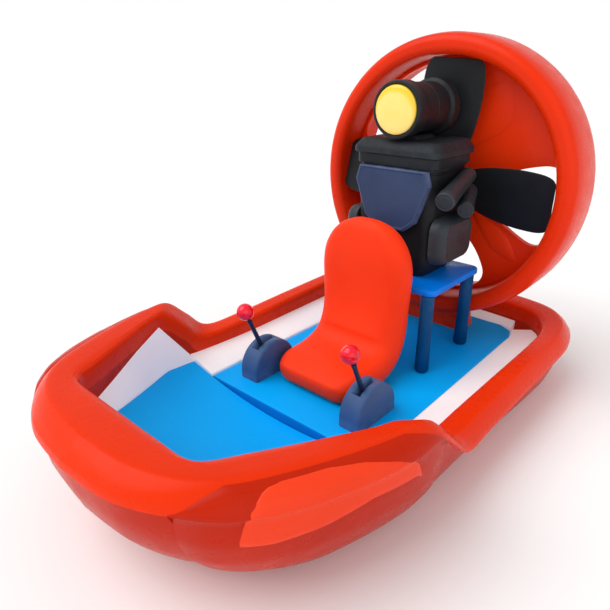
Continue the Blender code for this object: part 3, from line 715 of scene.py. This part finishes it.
slot_outline = rounded(SLOT_HALF_X, SLOT_HALF_Y, SLOT_CORNER, 4)
box_outline = [(-BOX_R, 0.0), (BOX_R, 0.0)]
for i in range(BOX_STEPS + 1):
    turn = pi * i / BOX_STEPS
    box_outline.append((BOX_R * cos(turn), BOX_FOOT + BOX_R * sin(turn)))
for side, word in SIDES:
    # A D-shaped box with rounded edges, and a slot through its rim for the stick
    rings = []
    for share, scale in BOX_SECTION:
        x = side * BOX_X + share * BOX_THICK
        rings.append([(x, BOX_Y + u * scale, DECK_Z + GAP + v * scale) for u, v in box_outline])
    box = skinned(f"lever_quadrant_{word}", rings, BOX_PLASTIC, sharp=35)
    rings = []
    for z in (SLOT_LOW_Z, SLOT_HIGH_Z):
        rings.append([(side * BOX_X + x, BOX_Y - SLOT_BACK + y, z) for x, y in slot_outline])
    cut_out(box, [skinned(f"notch_{word}", rings, BOX_PLASTIC)])
    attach(box, "boat")
    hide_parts(f"lever_box_{word}")

    tilt = Vector((0.0, -sin(LEVER_LEAN), cos(LEVER_LEAN)))
    pivot = Vector((side * BOX_X, BOX_Y, PIVOT_Z))
    stick = turned(f"lever_rod_{word}", pivot + tilt * STICK_LOW, pivot + tilt * STICK_HIGH,
                   STICK_SECTION, STICK_PAINT)
    boss_end = Vector((BOSS_HALF, 0, 0))
    boss = turned(f"lever_boss_{word}", pivot - boss_end, pivot + boss_end, BOSS_SECTION, STICK_PAINT)
    knob_centre = pivot + tilt * (LEVER_LENGTH + SEAM)
    side_axis = Vector((1, 0, 0))
    other_axis = tilt.cross(side_axis)
    rings = []
    for i in range(1, KNOB_RINGS):
        turn = pi * i / KNOB_RINGS
        centre = knob_centre - tilt * KNOB_R * cos(turn)
        rings.append(circle(centre, KNOB_R * sin(turn), side_axis, other_axis, KNOB_SIDES))
    ball = skinned(f"lever_ball_{word}", rings, KNOB_PLASTIC, sharp=60)
    for made, slot in ((stick, "stick_navy"), (boss, "stick_navy"), (ball, "knob_red")):
        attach(made, f"lever_{word}")
    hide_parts(f"lever_stick_{word}")
    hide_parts(f"lever_knob_{word}")


# Engine table: a folded aluminium plate, painted blue, on four round tube legs with swaged feet,
# painted a darker blue and bolted to the rear deck.
TABLE_Z = 0.687
TABLE_THICK = 0.035
TABLE_HALF = 0.350
TABLE_FRONT = 0.335
TABLE_REAR = 0.868
TABLE_CORNER = 0.045
LEG_X = 0.308
LEG_R = 0.039
LEG_FRONT = 0.362
LEG_REAR = 0.803
LEG_SECTION = (
    # share of the length, share of the radius
    (0.000, 0.620), (0.004, 0.760), (0.012, 0.880), (0.028, 0.970), (0.050, 1.000), (0.120, 0.985),
    (0.500, 0.930), (1.000, 0.930),
)
TABLE_PAINT = finish("table_paint", (0.000, 0.225, 0.900), (0.000, 0.165, 0.720), rough=0.33, patch=2.5,
                     grain=300, bump=0.05, worn=(0.20, 0.42, 0.90), gloss=0.10)
LEG_PAINT = finish("table_leg_paint", (0.000, 0.062, 0.195), (0.000, 0.040, 0.130), rough=0.36, patch=5.0,
                   grain=300, bump=0.05, worn=(0.08, 0.20, 0.36), gloss=0.08)


def stacked(name, outline, middle_y, datum, levels, look, **more):
    """Stacks a plan outline. levels holds (height over datum, scale in x, in y, shift astern)."""
    rings = []
    for height, scale_x, scale_y, shift in levels:
        rings.append([(x * scale_x, y * scale_y + (middle_y + shift), datum + height) for x, y in outline])
    return skinned(name, rings, look, **more)


table_outline = rounded(TABLE_HALF, (TABLE_REAR - TABLE_FRONT) / 2, TABLE_CORNER, 10)
table = stacked("engine_table_plate", table_outline, (TABLE_FRONT + TABLE_REAR) / 2, TABLE_Z, (
    (-TABLE_THICK, 0.985, 0.982, 0),
    (0.002 - TABLE_THICK, 0.994, 0.992, 0),
    (0.006 - TABLE_THICK, 1, 1, 0),
    (-0.010, 1, 1, 0),
    (-0.005, 0.996, 0.995, 0),
    (-0.002, 0.988, 0.986, 0),
    (0, 0.972, 0.968, 0)), TABLE_PAINT, sharp=45)
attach(table, "boat")
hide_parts("table_top")
leg_profile = [(share, LEG_R * scale) for share, scale in LEG_SECTION]
for side, word in SIDES:
    for y, end in ((LEG_FRONT, "front"), (LEG_REAR, "rear")):
        leg = turned(f"engine_table_leg_{word}_{end}", (side * LEG_X, y, DECK_Z + GAP),
                     (side * LEG_X, y, TABLE_Z - TABLE_THICK - GAP), leg_profile, LEG_PAINT, count=40)
        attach(leg, "boat")
        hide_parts(f"table_leg_{word}_{end}")


# Engine: an air-cooled motor closed in black painted covers. The block stands on the table, with
# a stepped top cover, a blue-grey shield in front, round side covers and two pipes to port.
ENGINE_HALF = 0.235
ENGINE_FRONT = 0.450
ENGINE_REAR = 0.820
ENGINE_TOP = 1.270
ENGINE_CORNER = 0.055
COWL_HALF = 0.250
COWL_OVERHANG = 0.015
COWL_CORNER = 0.045
COWL_HIGH = 0.125
ENGINE_PAINT = finish("engine_paint", (0.0125, 0.0140, 0.0165), (0.0065, 0.0075, 0.0090), rough=0.44,
                      patch=4.0, grain=420, bump=0.10, worn=(0.075, 0.082, 0.095), gloss=0.14)
COVER_PAINT = finish("engine_cover_paint", (0.022, 0.026, 0.031), (0.014, 0.017, 0.020), rough=0.44,
                     patch=5.0, grain=380, bump=0.08, worn=(0.09, 0.10, 0.115), gloss=0.14)
PIPE_PAINT = finish("engine_pipe_paint", (0.034, 0.040, 0.047), (0.024, 0.028, 0.033), rough=0.40, patch=6.0,
                    grain=380, bump=0.08, worn=(0.11, 0.12, 0.135), gloss=0.20)
SHIELD_PAINT = finish("engine_shield_paint", (0.038, 0.064, 0.150), (0.026, 0.044, 0.106), rough=0.34,
                      patch=3.0, grain=380, bump=0.06, worn=(0.14, 0.19, 0.30))
engine_foot = TABLE_Z + GAP - ENGINE_TOP
engine_y = (ENGINE_FRONT + ENGINE_REAR) / 2
engine_half = (ENGINE_REAR - ENGINE_FRONT) / 2
engine_outline = rounded(ENGINE_HALF, engine_half, ENGINE_CORNER, 10)
crankcase = stacked("engine_crankcase", engine_outline, engine_y, ENGINE_TOP, (
    (engine_foot, 0.80, 0.84, 0),
    (engine_foot + 0.02, 0.86, 0.89, 0),
    (engine_foot + 0.05, 0.93, 0.95, 0),
    (engine_foot + 0.085, 0.975, 0.982, 0),
    (engine_foot + 0.12, 1, 1, 0),
    (-0.030, 1, 1, 0),
    (-0.028, 0.985, 0.985, 0),
    (-0.016, 0.985, 0.985, 0),
    (-0.014, 1, 1, 0),
    (0, 1, 1, 0)), ENGINE_PAINT, sharp=35)
cowl_outline = rounded(COWL_HALF, engine_half + COWL_OVERHANG, COWL_CORNER, 10)
cowl = stacked("engine_cowl", cowl_outline, engine_y, ENGINE_TOP, (
    (GAP, 0.97, 0.97, 0),
    (0.004, 0.98, 0.98, 0),
    (0.050, 0.98, 0.98, 0),
    (0.053, 1.03, 1.02, 0),
    (0.057, 1.05, 1.04, 0),
    (0.078, 1.05, 1.04, 0),
    (0.088, 1.03, 1.02, 0),
    (0.112, 0.96, 0.95, 0.004),
    (0.121, 0.93, 0.92, 0.006),
    (COWL_HIGH, 0.90, 0.90, 0.008)), COVER_PAINT, sharp=35)

SHIELD = (
    # half width, z
    (0.208, 1.262), (0.232, 1.190), (0.162, 0.995), (0.088, 0.938),
)
SHIELD_MIDDLE_Z = 1.12
SHIELD_SECTION = (
    # distance in front of the block, scale of the outline
    (0.0004, 0.985), (0.0030, 1.000), (0.0170, 1.000), (0.0230, 0.985), (0.0270, 0.955),
    (0.0280, 0.930), (0.0245, 0.895), (0.0235, 0.850),
)
rings = []
for depth, scale in SHIELD_SECTION:
    half = [(x * scale, ENGINE_FRONT - depth, mix(SHIELD_MIDDLE_Z, z, scale)) for x, z in SHIELD]
    rings.append(half + [(-x, y, z) for x, y, z in half[::-1]])
shield = skinned("engine_shield", rings, SHIELD_PAINT, sharp=20)
for made, node, slot in ((crankcase, "engine_block", "engine_black"),
                         (cowl, "engine_top_cover", "engine_black"),
                         (shield, "engine_front_panel", "panel_blue_grey")):
    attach(made, "boat")
    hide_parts(node)

DOME_Y = 0.620
DOME_Z = 0.895
DOME_DEPTH = 0.085
DOME_HALF_Y = 0.172
DOME_HALF_Z = 0.125
DOME_CORNER = 0.070
DOME_SECTION = (
    # share of the depth, scale of the outline
    (0.000, 1.000), (0.300, 0.995), (0.550, 0.970), (0.750, 0.920), (0.900, 0.860), (1.000, 0.780),
    (0.965, 0.700), (0.960, 0.500),
)
PIPES = (
    # label, outer end, inner end, outer radius, inner radius
    ("front", (0.330, 0.400, 1.135), (0.270, 0.760, 1.218), 0.050, 0.042),
    ("rear", (0.372, 0.550, 1.075), (0.262, 0.790, 1.122), 0.043, 0.048),
)
PIPE_SECTION = (
    # share of the length, share of the outer radius: a pressed cap, then a collar
    (0.000, 0.300), (0.000, 0.660), (0.006, 0.740), (0.000, 0.820), (0.004, 0.900), (0.020, 0.975),
    (0.050, 1.000), (0.140, 1.000), (0.160, 0.950),
)
dome_outline = rounded(DOME_HALF_Y, DOME_HALF_Z, DOME_CORNER, 10)
for side, word in SIDES:
    rings = []
    for share, scale in DOME_SECTION:
        x = side * (ENGINE_HALF + GAP + DOME_DEPTH * share)
        rings.append([(x, DOME_Y + u * scale, DOME_Z + v * scale) for u, v in dome_outline])
    cover = skinned(f"engine_side_dome_{word}", rings, PIPE_PAINT, sharp=40)
    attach(cover, "boat")
    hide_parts(f"engine_side_cover_{word}")
    # Both pipes are to port, and their inner ends stop inside the block
    for label, outer, inner, start, end in PIPES if word == "port" else ():
        profile = [(share, start * scale) for share, scale in PIPE_SECTION] + [(0.97, end), (1, end * 0.8)]
        pipe = turned(f"engine_pipe_{word}_{label}", outer, inner, profile, PIPE_PAINT, count=40, sharp=30)
        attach(pipe, "boat")
        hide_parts(f"engine_cylinder_{word}_{label}")


# Lamp: a black die-cast searchlight on a bracket bolted to the engine's cowl, with a thick bezel,
# a flange at its back, and a domed glass of warm yellow pressed into its front.
LAMP_Z = 1.544
LAMP_FRONT = 0.430
LAMP_R = 0.140
LAMP_BARREL_R = 0.128
LAMP_FOOT_Y = 0.63
LAMP_FOOT_HALF_X = 0.075
LAMP_FOOT_HALF_Y = 0.085
LAMP_FOOT_CORNER = 0.020
LAMP_SIDES = 72
LAMP_PAINT = finish("lamp_paint", (0.0155, 0.0175, 0.0200), (0.0085, 0.0095, 0.0115), rough=0.38, patch=5.0,
                    grain=400, bump=0.08, worn=(0.08, 0.088, 0.10))
LAMP_GLASS = finish("lamp_glass", (0.98, 0.740, 0.230), (0.95, 0.650, 0.130), rough=0.14, coat=0.3, patch=8.0,
                    grain=90, bump=0.02)
# Painted shade: the glass is drawn deeper yellow toward its rim, as if shaded by the bezel
nodes = LAMP_GLASS.node_tree.nodes
link = LAMP_GLASS.node_tree.links.new
place = nodes.new("ShaderNodeTexCoord")
spread = nodes.new("ShaderNodeVectorMath")
spread.operation = "DISTANCE"
# Measured from a point 22 mm under the lamp's axis, so that the painted shade is deepest at the top
spread.inputs[1].default_value = (0.0, LAMP_FRONT, LAMP_Z - 0.022)
link(place.outputs["Object"], spread.inputs[0])
rim = preset(nodes.new("ShaderNodeMapRange"), From_Min=0.100, From_Max=0.118)
link(spread.outputs["Value"], rim.inputs["Value"])
glow = nodes["Principled BSDF"]
colour = glow.inputs["Base Color"]
link(blend(LAMP_GLASS.node_tree, rim.outputs["Result"], colour.links[0].from_socket, (0.93, 0.56, 0.030)),
     colour)
preset(glow, Emission_Color=(1.0, 0.78, 0.22, 1.0), Emission_Strength=0.06)
lamp_foot_outline = rounded(LAMP_FOOT_HALF_X, LAMP_FOOT_HALF_Y, LAMP_FOOT_CORNER, 8)
cowl_top = ENGINE_TOP + COWL_HIGH
bracket = stacked("lamp_foot", lamp_foot_outline, LAMP_FOOT_Y, cowl_top, (
    (GAP, 0.98, 0.98, 0),
    (0.004, 1, 1, 0),
    (0.009, 1, 1, 0),
    (LAMP_Z - LAMP_BARREL_R - SEAM - cowl_top, 0.8, 0.96, 0)), LAMP_PAINT, sharp=35)
BARREL = (
    # distance behind the front, radius
    (0.012, 0.1185), (0.006, 0.1190), (0.002, 0.1215), (0.000, 0.1250), (0.000, LAMP_R - 0.009),
    (0.003, LAMP_R - 0.003), (0.008, LAMP_R - 0.0008), (0.014, LAMP_R), (0.083, LAMP_R),
    (0.089, LAMP_R - 0.002), (0.095, LAMP_R - 0.007), (0.101, LAMP_BARREL_R),
    (0.200, LAMP_BARREL_R), (0.202, LAMP_BARREL_R - 0.003), (0.209, LAMP_BARREL_R - 0.003),
    (0.211, LAMP_BARREL_R), (0.325, LAMP_BARREL_R), (0.331, LAMP_BARREL_R + 0.010),
    (0.338, LAMP_R + 0.005), (0.344, LAMP_R + 0.006), (0.392, LAMP_R + 0.006),
    (0.401, LAMP_R + 0.002), (0.411, LAMP_R - 0.009), (0.418, LAMP_R - 0.022),
)
LENS = (
    # distance behind the front, radius
    (0.0115, 0.1180), (0.0000, 0.1180), (-0.0040, 0.1165), (-0.0075, 0.1100), (-0.0120, 0.0940),
    (-0.0148, 0.0700), (-0.0163, 0.0440), (-0.0170, 0.0180),
)


def hoops(table, front, z, count):
    """Circles that face along Y. table holds (distance behind front, radius)."""
    return [[(radius * cos(turn), front + y, z + radius * sin(turn)) for turn in turns(count)]
            for y, radius in table]


barrel = skinned("lamp_housing", hoops(BARREL, LAMP_FRONT, LAMP_Z, LAMP_SIDES), LAMP_PAINT, sharp=32)
glass = skinned("lamp_dome", hoops(LENS, LAMP_FRONT, LAMP_Z, LAMP_SIDES), LAMP_GLASS, sharp=60)
for made, node, slot in ((bracket, "lamp_bracket", "engine_black"), (barrel, "lamp_barrel", "engine_black"),
                         (glass, "lamp_lens", "lens_yellow")):
    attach(made, "boat")
    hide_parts(node)


# Propeller: four wide paddle blades of black composite, clamped in a turned hub on the engine's
# shaft, inside the duct. Each blade is twisted and thins toward its square tip.
DUCT_Z = 1.115
PROP_Y = 0.930
PROP_R = 0.672
PROP_TURN = radians(4)
HUB_R = 0.080
BLADE_BLACK = finish("blade_composite", (0.0135, 0.0150, 0.0175), (0.0080, 0.0090, 0.0110), rough=0.38,
                     patch=3.0, grain=260, bump=0.08, worn=(0.07, 0.075, 0.085))
HUB_SECTION = (
    # distance behind the blades' middle, radius: the shaft, then the hub
    (ENGINE_REAR + 0.0005 - PROP_Y, 0.0300), (-0.0580, 0.0300), (-0.0565, 0.0660),
    (-0.0540, 0.0740), (-0.0480, 0.0795), (-0.0400, HUB_R), (0.0420, HUB_R), (0.0500, 0.0785),
    (0.0560, 0.0740), (0.0840, 0.0600), (0.0940, 0.0460), (0.0980, 0.0250),
)
hub = skinned("propeller_boss", hoops(HUB_SECTION, PROP_Y, DUCT_Z, 56), BLADE_BLACK, sharp=45)
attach(hub, "propeller")
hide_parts("propeller_hub")
BLADE_SIDES = 36
# Powers that square the edges and flatten the faces, and each face's share of the thickness
BLADE_EDGE = 0.85
BLADE_FACE = 1.1
BLADE_BACK_SHARE = 0.5
BLADE_FRONT_SHARE = 0.4
BLADE_TABLE = (
    # radius, chord, twist in degrees, thickness
    (0.072, 0.110, 34, 0.036),
    (0.150, 0.215, 26, 0.032),
    (0.290, 0.300, 18, 0.026),
    (0.450, 0.340, 14, 0.020),
    (0.585, 0.335, 12, 0.015),
    (0.645, 0.305, 11, 0.011),
    (0.668, 0.262, 11, 0.008),
    (PROP_R, 0.235, 11, 0.004),
)
for number in range(4):
    spin = pi / 2 * number + PROP_TURN
    rings = []
    for radius, chord, twist, thick in curve_through(BLADE_TABLE, 5):
        pitch = radians(twist)
        ring = []
        for turn in turns(BLADE_SIDES):
            across = 0.5 * chord * copysign(abs(cos(turn)) ** BLADE_EDGE, cos(turn))
            fat = thick * (BLADE_BACK_SHARE if sin(turn) > 0 else BLADE_FRONT_SHARE)
            deep = fat * copysign(abs(sin(turn)) ** BLADE_FACE, sin(turn))
            x = across * cos(pitch) - deep * sin(pitch)
            y = across * sin(pitch) + deep * cos(pitch)
            ring.append((x * cos(spin) + radius * sin(spin), PROP_Y + y,
                         DUCT_Z - x * sin(spin) + radius * cos(spin)))
        rings.append(ring)
    blade = skinned(f"propeller_paddle_{number + 1}", rings, BLADE_BLACK, sharp=50)
    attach(blade, "propeller")
    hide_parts(f"propeller_blade_{number + 1}")


# Duct: a hollow moulded ring in the hull's red round the propeller, with a fat rolled lip in
# front, standing on a foot on the rear deck. Its stern edge is rolled too.
DUCT_OUTER = 0.800
DUCT_INNER = 0.685
DUCT_FRONT = 0.850
DUCT_REAR = 1.225
DUCT_SIDES = 160
DUCT_GELCOAT = finish("duct_gelcoat", (0.780, 0.031, 0.0020), (0.680, 0.023, 0.0012), rough=0.30,
                      patch=1.6, worn=(0.86, 0.10, 0.04), gloss=0.12)
DUCT_LONG = DUCT_REAR - DUCT_FRONT
DUCT_SECTION = (
    # distance behind the front, radius
    (0.060, DUCT_INNER), (0.022, DUCT_INNER + 0.008), (0.003, DUCT_INNER + 0.030),
    (0.000, DUCT_INNER + 0.055), (0.006, DUCT_OUTER - 0.034), (0.032, DUCT_OUTER - 0.010),
    (0.090, DUCT_OUTER), (DUCT_LONG - 0.110, DUCT_OUTER), (DUCT_LONG - 0.035, DUCT_OUTER - 0.016),
    (DUCT_LONG - 0.004, DUCT_OUTER - 0.048), (DUCT_LONG, DUCT_INNER + 0.030),
    (DUCT_LONG - 0.020, DUCT_INNER),
)
section = curve_through(DUCT_SECTION[:7], 4) + curve_through(DUCT_SECTION[7:], 4)
rings = hoops([(y, min(radius, DUCT_OUTER)) for y, radius in section], DUCT_FRONT, DUCT_Z, DUCT_SIDES)
duct = skinned("duct_shroud", rings, DUCT_GELCOAT, ends="closed", sharp=40)
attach(duct, "boat")
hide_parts("duct_ring")


# Stator: a red moulded plate behind the propeller that straightens its air, bonded in the duct.
# Three wide petals with openings between them, each petal with a raised leaf-shaped rib. Its red
# is brighter than the duct's: painted light that lifts the plate out of the duct's shade.
STATOR_Y = 1.060
# Painted light: a brighter red than the duct's, against the shade inside the duct
STATOR_LIT_GELCOAT = finish("stator_gelcoat_painted_light", (0.950, 0.042, 0.0030), (0.860, 0.034, 0.0020), rough=0.32,
                        patch=1.6, worn=(0.95, 0.11, 0.04), gloss=0.15)
PLATE_SECTION = (
    # distance behind the plate's middle, radius
    (-0.016, 0.5000), (-0.018, DUCT_INNER - 0.0040), (-0.016, DUCT_INNER - 0.0005),
    (0.016, DUCT_INNER - 0.0005), (0.018, DUCT_INNER - 0.0040), (0.018, 0.5000),
)
OPENINGS = (
    # middle of the opening in degrees, half its spread, seen from the bow
    (-8, 22), (130, 34), (254, 46),
)
HOLE_R = 0.668
HOLE_HALF = 0.03
HOLE_EDGE = (
    # radius, share of half the spread
    (0.200, 0.45), (0.280, 0.80), (0.420, 0.98), (0.560, 1.00), (0.630, 0.94), (0.664, 0.80),
    (0.666, 0.54), (HOLE_R, 0.27), (HOLE_R, 0.00),
)
plate = skinned("stator_plate", hoops(PLATE_SECTION, STATOR_Y, DUCT_Z, DUCT_SIDES), STATOR_LIT_GELCOAT, sharp=35)
holes = []
for number, (turn, spread) in enumerate(OPENINGS):
    loop = []
    for sign, edge in ((1, HOLE_EDGE), (-1, HOLE_EDGE[::-1])):
        half = [(radius, radians(turn + sign * spread * part)) for radius, part in edge]
        loop = loop[:-1] + curve_through(half, 4)
    loop = [(min(radius, HOLE_R), angle) for radius, angle in loop]
    rings = [[(radius * cos(angle), y, DUCT_Z + radius * sin(angle)) for radius, angle in loop]
             for y in (STATOR_Y - HOLE_HALF, STATOR_Y + HOLE_HALF)]
    holes.append(skinned(f"hole_{number}", rings, STATOR_LIT_GELCOAT))
cut_out(plate, holes)
plate.data.set_sharp_from_angle(angle=radians(35))
edge_round = plate.modifiers.new("edge_round", "BEVEL")
edge_round.width = 0.006
edge_round.segments = 3
edge_round.limit_method = "ANGLE"
edge_round.angle_limit = radians(40)
edge_round.harden_normals = True
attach(plate, "boat")
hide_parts("stator")
RIBS = (
    # middle of the petal in degrees, half its spread, inner and outer radius
    (61, 26, 0.16, 0.640),
    (186, 15, 0.16, 0.640),
    (319, 12, 0.16, 0.640),
)
RIB_ACROSS = (
    # share of the half width, share of the height
    (-1.0, 0.0), (-0.7, 0.7), (0.0, 1.0), (0.7, 0.7), (1.0, 0.0),
)
RIB_STEPS = 24
RIB_ROOT = 0.0176
RIB_HIGH = 0.008
# A leaf, widest a little past its middle, that takes up RIB_WIDE of its petal's spread
RIB_WIDE = 0.62
RIB_SWELL = 1.25
for number, (turn, spread, near, far) in enumerate(RIBS):
    for facing, word in ((-1, "front"), (1, "rear")):
        points = []
        faces = []
        for i in range(RIB_STEPS + 1):
            along = i / RIB_STEPS
            radius = mix(near, far, along)
            half = radians(spread) * RIB_WIDE * sin(pi * along ** RIB_SWELL)
            for part, height in RIB_ACROSS:
                angle = radians(turn) + half * part
                off = RIB_ROOT + RIB_HIGH * height * min(1.0, 6 * along, 6 * (1 - along))
                points.append((radius * cos(angle), STATOR_Y + facing * off, DUCT_Z + radius * sin(angle)))
        for i in range(RIB_STEPS):
            for j in range(4):
                a = i * 5 + j
                faces.append((a, a + 1, a + 6, a + 5))
        rib = piece(f"stator_rib_{word}_{number + 1}", points, faces, STATOR_LIT_GELCOAT, sharp=60)
        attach(rib, "boat")


# Duct foot: a red moulded saddle between the rear deck and the bottom of the duct, glued to both.
# Its top is hollowed to the duct's outside, and its front and rear edges are rounded off.
FOOT_HALF = 0.24
FOOT_STEPS = 12
FOOT_SPREAD = radians(15)
FOOT_SECTION = (
    # y, distance in from the sides
    (DUCT_FRONT + 0.100, 0.004), (DUCT_FRONT + 0.104, 0.000),
    (DUCT_REAR - 0.124, 0.000), (DUCT_REAR - 0.120, 0.004),
)
shares = [step / FOOT_STEPS for step in range(-FOOT_STEPS, FOOT_STEPS + 1)]
radius = DUCT_OUTER + SEAM
rings = []
for y, inset in FOOT_SECTION:
    top = [(radius * sin(FOOT_SPREAD * share), y, DUCT_Z - radius * cos(FOOT_SPREAD * share))
           for share in shares]
    rings.append(top + [((inset - FOOT_HALF) * share, y, DECK_Z + GAP) for share in shares])
foot = skinned("duct_saddle", rings, DUCT_GELCOAT, ends="across", sharp=30)
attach(foot, "boat")
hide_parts("duct_foot")


# Floor and light: a plain pale floor under the flat bottom, a soft key light from the upper left
# of the picture, a weak broad fill from the right, and a pale sky, whitest at the horizon.
FLOOR = 60.0
floor_mesh = bpy.data.meshes.new("floor")
floor_mesh.from_pydata([(-FLOOR, -FLOOR, 0), (FLOOR, -FLOOR, 0), (FLOOR, FLOOR, 0), (-FLOOR, FLOOR, 0)],
                       [], [(0, 1, 2, 3)])
floor_mesh.materials.append(finish("studio_floor", (0.93, 0.93, 0.93), (0.91, 0.91, 0.91), rough=0.85,
                                   patch=0.6, grain=60, bump=0.02, gloss=0.1))
floor = put("floor", floor_mesh)
LIGHTS = (
    # name, way to the light, energy, spread in degrees
    ("key", (-0.38, -0.44, 0.81), 1.85, 55),
    ("fill", (0.88, -0.52, 0.36), 0.60, 60),
)
for label, toward, energy, spread in LIGHTS:
    lamp_data = bpy.data.lights.new(label, "SUN")
    lamp_data.energy = energy
    lamp_data.angle = radians(spread)
    put(label, lamp_data).rotation_euler = Vector(toward).to_track_quat("Z", "Y").to_euler()
# The sky's strength falls from 1 near the horizon to SKY_HIGH overhead
SKY_HIGH = 0.60
sky = bpy.data.worlds.new("sky")
sky.use_nodes = True
nodes = sky.node_tree.nodes
link = sky.node_tree.links.new
way = nodes.new("ShaderNodeTexCoord")
split = nodes.new("ShaderNodeSeparateXYZ")
link(way.outputs["Generated"], split.inputs["Vector"])
dome = preset(nodes.new("ShaderNodeMapRange"), From_Min=0.16, From_Max=0.45, To_Min=1.0, To_Max=SKY_HIGH)
link(split.outputs["Z"], dome.inputs["Value"])
link(dome.outputs["Result"], nodes["Background"].inputs["Strength"])
preset(nodes["Background"], Color=(1.0, 1.0, 1.0, 1.0))
bpy.context.scene.world = sky
bpy.context.scene.view_settings.view_transform = "Standard"
